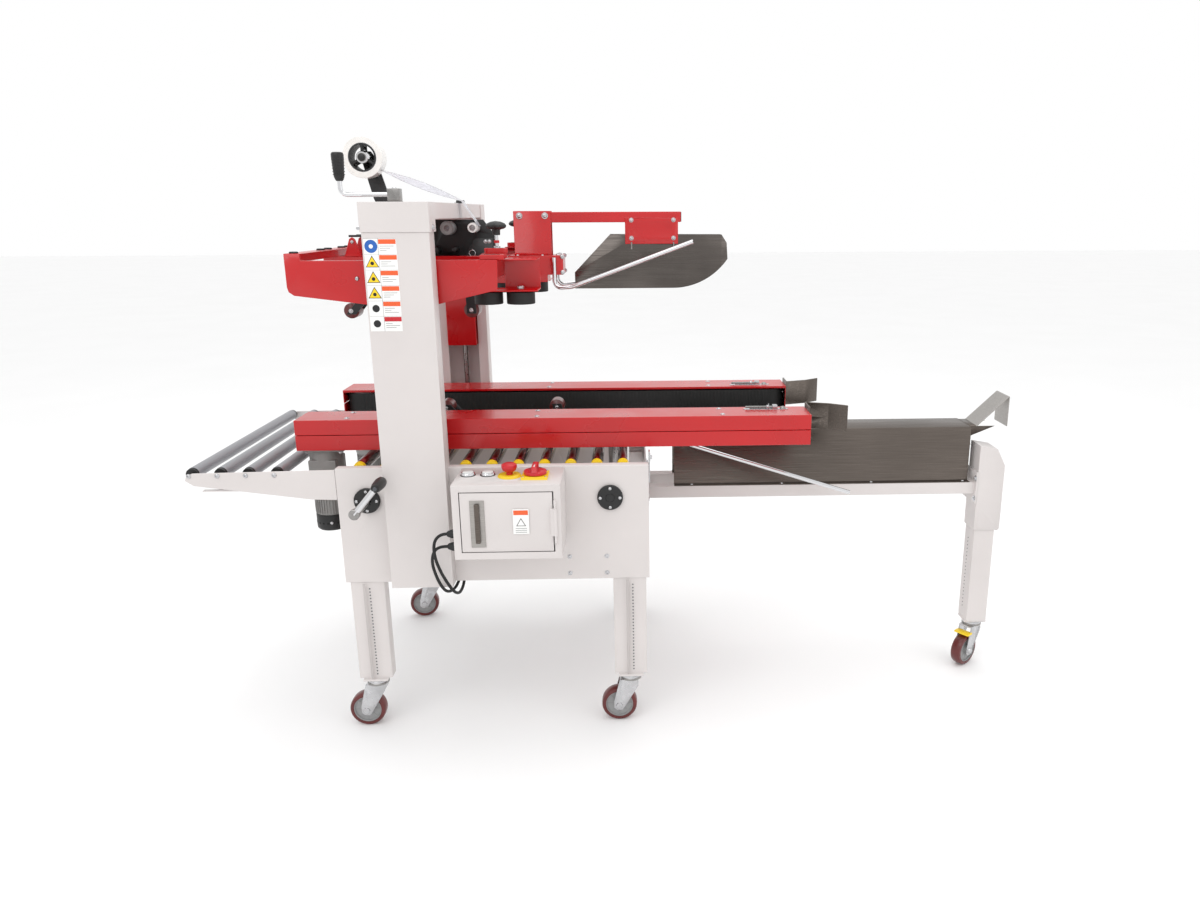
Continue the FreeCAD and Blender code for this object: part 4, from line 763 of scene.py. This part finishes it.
def motor(name, side):
    """Gearmotor that hangs under the outfeed end: plate, gearbox, ribbed body and fan cover."""
    piece = Piece(f"{name}_belt_motor_detail")
    x, y = -856, side * 204
    up = (0, 0, 1)
    piece.box((x - 46, y - 50, 770), (x + 64, y + 50, 778), "cast", 1)
    for dx in (-38, 54):
        for dy in (-42, 42):
            piece.hex_bolt((x + dx, y + dy, 770), (0, 0, -1), 9, 4)
    piece.lathe((x, y, 650), up, [(0, 0), (0, 43), (2, 45), (16, 45), (18, 43.5), (24, 43.5), (26, 45),
                                  (112, 45), (118, 43), (120, 40), (120, 0)], "cast", 64)
    piece.box((x - 38, y - 44.5, 668), (x + 38, y + 44.5, 744), "cast", 4)
    piece.lathe((x, y, 584), up, [(0, 0), (0, 40.4), (66, 40.4), (66, 0)], "cast", 64)
    for fin in range(36):
        turn = 2 * math.pi * fin / 36
        foot = Vector((x + 39 * math.cos(turn), y + 39 * math.sin(turn), 588))
        tip = Vector((x + 43.6 * math.cos(turn), y + 43.6 * math.sin(turn), 588))
        across = Vector((-math.sin(turn), math.cos(turn), 0)) * 0.8
        outline = [(foot - across).xy, (foot + across).xy, (tip + across * 0.7).xy, (tip - across * 0.7).xy]
        piece.plate([tuple(place) for place in outline], 588, 646, "cast", "xy", 0)
    piece.lathe((x, y, 536), up, [(0, 0), (0, 30), (2, 38), (6, 42), (10, 43), (46, 43), (48, 42), (48, 0)],
                "black_plastic", 64)
    # Dark discs for the fan cover's vents: painted shade inside the openings.
    for slot in range(20):
        turn = 2 * math.pi * slot / 20
        place = (x + 43 * math.cos(turn), y + 43 * math.sin(turn), 560)
        piece.disc(place, (math.cos(turn), math.sin(turn), 0), 3, 0.4, "painted_hole_shade", 0.1, 10)
    piece.cap_screw((x + 10, y + side * 41.8, 562), (0, side, 0), 4.5, 3)
    piece.finish(f"{name}_belt_unit", "cast_grey", [f"{name}_belt_motor"])


# ---------------------------------------------------------------- taping head

def head():
    eased("head_frame", "red", 1.2)
    eased("flap_blade", "blade", 0.3)
    eased("flap_arm", "red", 1.2, lambda place: "bright" if abs(place.y) > 24.6 and place.x > -20 else None)
    eased("squeeze_rollers", "rubber", 1.6, lambda place: "bright" if place.z > 1196.5 else None)
    head_trim()
    flap_trim()


def head_trim():
    """Adjuster links, star knobs, cross-bar pads, bolts, and the ears and brackets on the inner rails."""
    piece = Piece("head_trim")
    for side in (-1, 1):
        piece.cap_screw((-687, side * 339, 1242), (0, side, 0), 5.4, 4)
        for x, y in ((-844, 322), (-844, 120), (-844, 60)):
            piece.lathe((x, side * y, 1304), (0, 0, 1), [(0, 0), (0, 11), (3, 11), (4.4, 9), (4.4, 0)],
                        "black_plastic", 28)
        piece.plate([(-380, side * 328), (-320, side * 328), (-322, side * 240), (-342, side * 212),
                     (-391, side * 212), (-384, side * 262)][::side], 1286.3, 1298, "red", "xy", 1)
        # Dark slot plates: painted shade inside the links' slots.
        piece.plate(oval(-374, -330, side * 316, 4.6), 1298, 1298.4, "painted_hole_shade", "xy", 0)
        piece.plate(oval(-384, -322, side * 226, 13), 1298, 1311, "red", "xy", 1)
        piece.plate(oval(-374, -332, side * 226, 4.4), 1311, 1311.4, "painted_hole_shade", "xy", 0)
        knob = (-350, side * 228)
        piece.tube([(*knob, 1300), (*knob, 1348)], 4.6, "chrome", 16)
        piece.ring((*knob, 1311), (0, 0, 1), 9, 4, 5, "bright", 0.8, 24)
        piece.hex_bolt((*knob, 1324), (0, 0, 1), 13, 7, False, "red")
        piece.lathe((*knob, 1344), (0, 0, 1), [(0, 0), (0, 10), (12, 10.5), (16, 13)], "black_plastic", 36)
        piece.lathe((*knob, 1358), (0, 0, 1),
                    [(0, 8), (2, 19), (6, 25), (11, 26), (16, 22), (20, 13), (22, 0)],
                    "black_plastic", 60, True, 6, 0.1)
        ear = -779
        piece.plate([(ear - 24, 1283), (ear + 24, 1283), (ear + 8, 1331), (ear, 1336), (ear - 8, 1331)],
                    side * 46 - 2.5, side * 46 + 2.5, "red", "xz", 1)
        piece.cap_screw((ear, side * 48.5, 1323), (0, side, 0), 5, 4)
        piece.box((-752, side * 36 - 1.5, 1284), (-706, side * 36 + 1.5, 1338), "black_metal", 1)
        piece.box((-790, side * 36 - 5, 1336), (-700, side * 36 + 5, 1342), "black_metal", 1.4)
        for x in (-320, -250):
            piece.cap_screw((x, side * 40, 1283), (0, 0, 1), 4, 3)
        for z in (1236, 1279):
            piece.cap_screw((-194, side * 46, z), (0, side, 0), 6.4, 4)
        piece.cap_screw((-206, side * 30, 1283), (0, 0, 1), 6.5, 5)
    piece.finish("head", "red_coat")


def flap_trim():
    """Bolts through the flap arm's bracket and the pins of the blade's saddle."""
    piece = Piece("flap_arm_trim")
    for side in (-1, 1):
        for x, z in ((-313, 1392), (-241, 1392)):
            piece.disc((x, side * 25, z), (0, side, 0), 9, 1.4, "bright", 0.3)
            piece.cap_screw((x, side * 26.4, z), (0, side, 0), 6.6, 4.4)
        for x in (3, 123):
            for z in (1329, 1379):
                piece.disc((x, side * 24, z), (0, side, 0), 6.4, 1, "bright", 0.3)
                piece.cap_screw((x, side * 25, z), (0, side, 0), 4.8, 3.4)
            piece.tube([(x, side * 22.4, 1318), (x, side * 22.4, 1298)], 2.6, "steel", 14)
    piece.box((144, -19, 1374), (145.6, 19, 1401), "black_plastic", 0.5)
    piece.finish("head", "red_coat")


# ---------------------------------------------------------------- taping units

def tape_roll():
    """Part-used roll: wound tape, its core and a three-arm expanding hub."""
    piece = Piece("upper_tape_roll_detail")
    x, z = -738, 1550
    way = (0, 1, 0)
    wound = [(-23.4, 38.6), (-24, 39), (-24, 54.4), (-23.4, 55), (23.4, 55), (24, 54.4), (24, 39),
             (23.4, 38.6)]
    piece.lathe((x, 0, z), way, wound, "tape", 96)
    piece.ring((x, -23.6, z), way, 38.8, 37, 47.2, "instrument", 0.3, 72)
    piece.ring((x, -23.9, z), way, 37, 33.5, 47.8, "black_plastic", 0.6, 72)
    piece.lathe((x, -27.5, z), way, [(0, 10.3), (0, 15), (2, 16.5), (52, 16.5), (55, 15), (55, 10.3)],
                "chrome", 48)
    piece.ring((x, -29.5, z), way, 12.5, 10.3, 3, "steel", 0.6, 36)
    for arm in range(3):
        turn = math.radians(90 + 120 * arm)
        out = Vector((math.cos(turn), 0, math.sin(turn)))
        start = Vector((x, 0, z)) + out * 14
        for y in (-17, 17):
            near = start + Vector((0, y, 0))
            piece.tube([near, near + out * 21], 4.6, "black_plastic", 14)
        pad = Vector((x, 0, z)) + out * 33
        piece.tube([pad + Vector((0, -22, 0)), pad + Vector((0, 22, 0))], 4.2, "black_plastic", 14)
        pin = start + out * 6
        piece.tube([pin + Vector((0, -21, 0)), pin + Vector((0, 21, 0))], 2.2, "bright", 12)
    piece.finish("tape_roll", "tape_film", ["upper_tape_roll"])


def tape_film():
    """The band of film from the roll over the beam to the head's guide roller."""
    data = bpy.data.meshes.new("tape_film_web")
    made = bmesh.new()
    line = [Vector((-694, 0, 1517.4)), Vector((-474, 0, 1433)), Vector((-429.5, 0, 1364))]
    steps = []
    for first, second, count, twist in ((line[0], line[1], 18, math.radians(24)), (line[1], line[2], 8, 0)):
        steps += [(first.lerp(second, step / count), twist * math.sin(math.pi * step / count))
                  for step in range(count)]
    steps.append((line[-1], 0))
    rows = [[made.verts.new(at(place.x, y * math.cos(turn), place.z + y * math.sin(turn)))
             for y in (-23.8, -12, 0, 12, 23.8)] for place, turn in steps]
    for low, high in zip(rows, rows[1:]):
        for index in range(4):
            made.faces.new((low[index], low[index + 1], high[index + 1], high[index]))
    bmesh.ops.solidify(made, geom=made.faces[:], thickness=0.0004)
    made.to_mesh(data)
    made.free()
    for polygon in data.polygons:
        polygon.use_smooth = True
    data.materials.append(MATERIALS["film"])
    obj = linked("tape_film_web", data)
    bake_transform(obj)
    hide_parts("tape_web")


def taping_units():
    def lower_parts(place):
        spread = math.hypot(place.x + 390, place.z - 590)
        if abs(place.y) < 36.5 and spread < 72:
            return "tape" if abs(place.y) < 24.5 and spread > 39 else "black_plastic"
        return None

    eased("upper_tape_unit", "black_metal", 0.5)
    eased("lower_tape_unit", "black_metal", 0.5, lower_parts)
    piece = Piece("upper_cartridge_rollers")
    near = (0, -1, 0)
    for x, z, radius, finish in ((-518, 1359, 18.4, "hub"), (-446, 1360, 13.4, "label")):
        profile = [(0, 0), (0, radius - 3), (1.6, radius - 3), (1.6, radius - 1), (0, radius),
                   (2, radius + 0.4), (52, radius + 0.4), (55, radius - 1), (55, 0)]
        piece.lathe((x, -27.5, z), (0, 1, 0), profile, finish, 48)
        piece.hex_bolt((x, -27.4, z), near, 9, 3.6)
    for x, z in ((-410, 1322), (-399, 1322), (-476, 1270)):
        piece.disc((x, -33, z), near, 5.4, 1.2, "bright", 0.3)
        piece.cap_screw((x, -34.2, z), near, 4, 3)
    piece.tube([(-448 + 9 * math.cos(math.pi / 6 * step), -36, 1290 + 9 * math.sin(math.pi / 6 * step))
                for step in range(13)], 1.1, "bright", 8, False)
    piece.tube([(-448, -33, 1299), (-448, -37, 1299)], 2.2, "bright", 10)
    for x, z in ((-462, 1232), (-620, 1250), (-420, 1214), (-560, 1262)):
        piece.hex_bolt((x, -33, z), near, 8, 3)
    piece.finish("head", "black_steel")
    for family in ("upper", "lower"):
        for name in ("entry", "exit"):
            applicator(family, name)


def applicator(family, name):
    """Swinging cheeks as the CAD has them, with a dark red wiping roller and its end screws."""
    node = f"{family}_{name}_applicator"
    pivot, _ = joint_place(f"{family}_{name}_swing")
    low, high = span_of(node)
    roller_x = high.x - 22 if (family, name) == ("upper", "entry") else low.x + 22
    roller = Vector((roller_x, 0, high.z - 22 if family == "lower" else low.z + 22))

    def tyre(place):
        near = math.hypot(place.x - roller.x, place.z - roller.z) < 22.4 and abs(place.y) < 23
        return "tyre" if near else None

    eased(node, "black_metal", 0.6, tyre)
    piece = Piece(f"{node}_screws")
    for side in (-1, 1):
        for centre in (roller, pivot):
            piece.disc((centre.x, side * 28, centre.z), (0, side, 0), 6.4, 0.8, "bright", 0.2)
            piece.cap_screw((centre.x, side * 28.6, centre.z), (0, side, 0), 4.4, 2)
    piece.finish(f"{family}_{name}_arm", "black_steel")


# ---------------------------------------------------------------- infeed table

def infeed_trim():
    """Screws along the table's flange and in its ends, the bolts of both ends, and a bracket beside it."""
    piece = Piece("infeed_trim")
    for side in (-1, 1):
        for x in (175, 447, 719, 999):
            piece.dome((x, side * 74, 608), (0, 0, 1), 5, 3.2, "bright", 18)
        for x, way in ((122, -1), (1018, 1)):
            for z in (640, 720):
                piece.cap_screw((x, side * 61.8, z), (way, 0, 0), 2.4, 0.3)
    for z in (556, 620):
        for y in (-91, 84):
            piece.hex_bolt((1033, y, z), (-1, 0, 0), 10, 4)
    for z in (556, 616, 634):
        for y in (-98, 98):
            piece.hex_bolt((41, y, z), (1, 0, 0), 10, 4)
    piece.box((41.4, -352, 700), (45, -330, 786), "bright", 0.8)
    piece.hex_bolt((45, -341, 768), (1, 0, 0), 12, 5)
    piece.finish("frame", "white_coat")


# ---------------------------------------------------------------- control box

def controls():
    def box_parts(place):
        on_top = place.z > 755.6 and place.y < -400
        if not on_top or place.x >= -213.9:
            return None
        return "chrome" if place.x < -345 else "yellow"

    def door_parts(place):
        return "light_stainless" if place.y < -537.4 and place.x < -367 else None

    eased("control_box", "white", 0.8, box_parts, 0.012)
    eased("cabinet_door", "white", 0.7, door_parts)
    eased("door_latch", "stainless", 1.4)
    eased("start_button", "clear", 0.8)
    eased("stop_button", "clear", 0.8)
    dress("emergency_stop", "red_plastic")
    eased("main_switch", "red_plastic", 1.6)
    piece = Piece("cabinet_trim")
    for x in (-420, -370):
        piece.ring((x, -446, 761.6), (0, 0, 1), 16.6, 14.8, 1.8, "bright", 0.6, 48)
        piece.ring((x, -446, 755), (0, 0, 1), 19.5, 16, 1.6, "black_plastic", 0.5, 48)
    piece.ring((-313, -460, 755), (0, 0, 1), 30, 27, 2, "yellow", 0.6, 56)
    switch_x, switch_y = -247, -468
    for turn in range(4):
        angle = math.pi / 2 * turn + math.pi / 4
        place = (switch_x + 40 * math.cos(angle), switch_y + 40 * math.sin(angle), 763)
        piece.cap_screw(place, (0, 0, 1), 2.6, 1.6)
    piece.finish("frame", "black_plastic")
    plate = Piece("door_label")
    plate.box((-299, -539.5, 628), (-259, -538.9, 693), "label", 0.1)
    plate.box((-297, -539.8, 678), (-261, -539.4, 690), "label_orange", 0.05)
    for size, depth, colour in ((14, 0.3, "black_plastic"), (11, 0.5, "label")):
        plate.plate(triangle(-279, 656, size), -539.4 - depth, -539.3, colour, "xz", 0)
    for z in (642, 637, 632):
        plate.box((-293, -539.7, z), (-265, -539.4, z + 1.4), "label_grey", 0.05)
    plate.finish("door", "white_coat")
    switch = Piece("switch_pointer")
    switch.box((-248.4, -492, 787.5), (-245.6, -470, 788.2), "label", 0.1)
    switch.finish("switch_knob", "red_plastic")


CABLES = {
    "upper": [(-478, -470, 606), (-486, -470, 606), (-499, -473, 602), (-509, -478, 591), (-512, -483, 573),
              (-509, -487, 545), (-498, -485, 508), (-484, -476, 472), (-474, -456, 440), (-468, -424, 421),
              (-468, -384, 414), (-469, -348, 416), (-470, -326, 428), (-470, -320, 446)],
    "lower": [(-478, -470, 572), (-486, -470, 572), (-500, -467, 569), (-513, -462, 560), (-522, -457, 544),
              (-526, -452, 518), (-521, -445, 484), (-512, -437, 452), (-504, -419, 426), (-497, -388, 411),
              (-491, -352, 407), (-487, -322, 414), (-486, -306, 428), (-486, -300, 446)],
}


def cables():
    """Two wiring looms from the cabinet's glands down and under the side plate."""
    for name, route in CABLES.items():
        curve = bpy.data.curves.new(f"control_cable_{name}", "CURVE")
        curve.dimensions = "3D"
        curve.bevel_depth = 0.004
        curve.bevel_resolution = 6
        curve.resolution_u = 12
        curve.use_fill_caps = True
        spline = curve.splines.new("NURBS")
        spline.points.add(len(route) - 1)
        for point, place in zip(spline.points, route):
            point.co = (*at(*place), 1)
        spline.order_u = 3
        spline.use_endpoint_u = True
        curve.materials.append(MATERIALS["rubber"])
        obj = linked(f"control_cable_{name}", curve)
        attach(obj, "frame")
    piece = Piece("cable_glands")
    for z in (606, 572):
        piece.hex_bolt((-448, -470, z), (-1, 0, 0), 23, 8, False, "black_plastic")
        piece.lathe((-456, -470, z), (-1, 0, 0),
                    [(0, 0), (0, 11.6), (10, 11.2), (18, 8.6), (22, 6.4), (22, 0)], "black_plastic", 32)
        for rib in range(12):
            turn = 2 * math.pi * rib / 12
            place = Vector((-457, -470 + 11 * math.cos(turn), z + 11 * math.sin(turn)))
            piece.tube([place, place + Vector((-9, 0, 0))], 0.9, "black_plastic", 6)
    piece.finish("frame", "black_rubber", ["control_cables"])


# ---------------------------------------------------------------- camera, floor and light

LENS = 26.82
SHIFT = -0.0525
PITCH = math.radians(14.89)
YAW = math.radians(-1.87)
ROLL = math.radians(0.23)


def camera():
    forward = Vector((-math.sin(YAW), math.cos(YAW), 0))
    right = Vector((math.cos(YAW), math.sin(YAW), 0))
    up = Vector((0, 0, 1))
    look = forward * math.cos(PITCH) - up * math.sin(PITCH)
    down = -(forward * math.sin(PITCH) + up * math.cos(PITCH))
    across = right * math.cos(ROLL) + down * math.sin(ROLL)
    below = down * math.cos(ROLL) - right * math.sin(ROLL)
    data = bpy.data.cameras.new("camera")
    data.lens = LENS
    data.sensor_width = 36
    data.shift_x = SHIFT
    data.clip_end = 200
    obj = linked("camera", data)
    turn = Matrix((across, -below, -look)).transposed().to_4x4()
    obj.matrix_world = Matrix.Translation(at(5, -2645, 1400)) @ turn
    bpy.context.scene.camera = obj


def light(name, place, aim, size, power):
    data = bpy.data.lights.new(name, "AREA")
    data.shape = "RECTANGLE"
    data.size, data.size_y = size
    data.energy = power
    obj = linked(name, data)
    start = Vector(place)
    turn = (start - Vector(aim)).to_track_quat("Z", "Y").to_matrix().to_4x4()
    obj.matrix_world = Matrix.Translation(start) @ turn


def studio():
    made, tree, shader = nodes_of("studio_floor")
    patches = remap(tree, noise(tree, 1.5), 0, 1)
    tone = blend_colours(tree, patches, (0.94, 0.94, 0.94, 1), (0.96, 0.96, 0.96, 1))
    tree.links.new(tone, shader.inputs["Base Color"])
    shader.inputs["Roughness"].default_value = 0.7
    floor = bmesh.new()
    bmesh.ops.create_grid(floor, x_segments=8, y_segments=8, size=30)
    data = bpy.data.meshes.new("studio_floor")
    floor.to_mesh(data)
    floor.free()
    data.materials.append(made)
    obj = linked("studio_floor", data)
    world = bpy.data.worlds.new("studio")
    world.use_nodes = True
    world.node_tree.nodes["Background"].inputs["Color"].default_value = (1, 1, 1, 1)
    world.node_tree.nodes["Background"].inputs["Strength"].default_value = 1.0
    bpy.context.scene.world = world
    light("key", (-1.5, -3.2, 4.2), (0, 0, 0.8), (3.5, 2.5), 45)
    light("fill", (3.2, -2.0, 2.6), (0.2, 0, 0.8), (2.5, 2.5), 12)
    light("top", (0, 0.6, 4.6), (0, 0, 0.8), (4, 3), 40)
    bpy.context.scene.view_settings.view_transform = "Standard"


camera()
studio()
frame_metalwork()
rollers()
bed_fasteners()
column_trim()
leg_details()
mast_crank()
width_crank()
casters()
belt_units()
head()
tape_roll()
tape_film()
taping_units()
infeed_trim()
controls()
cables()
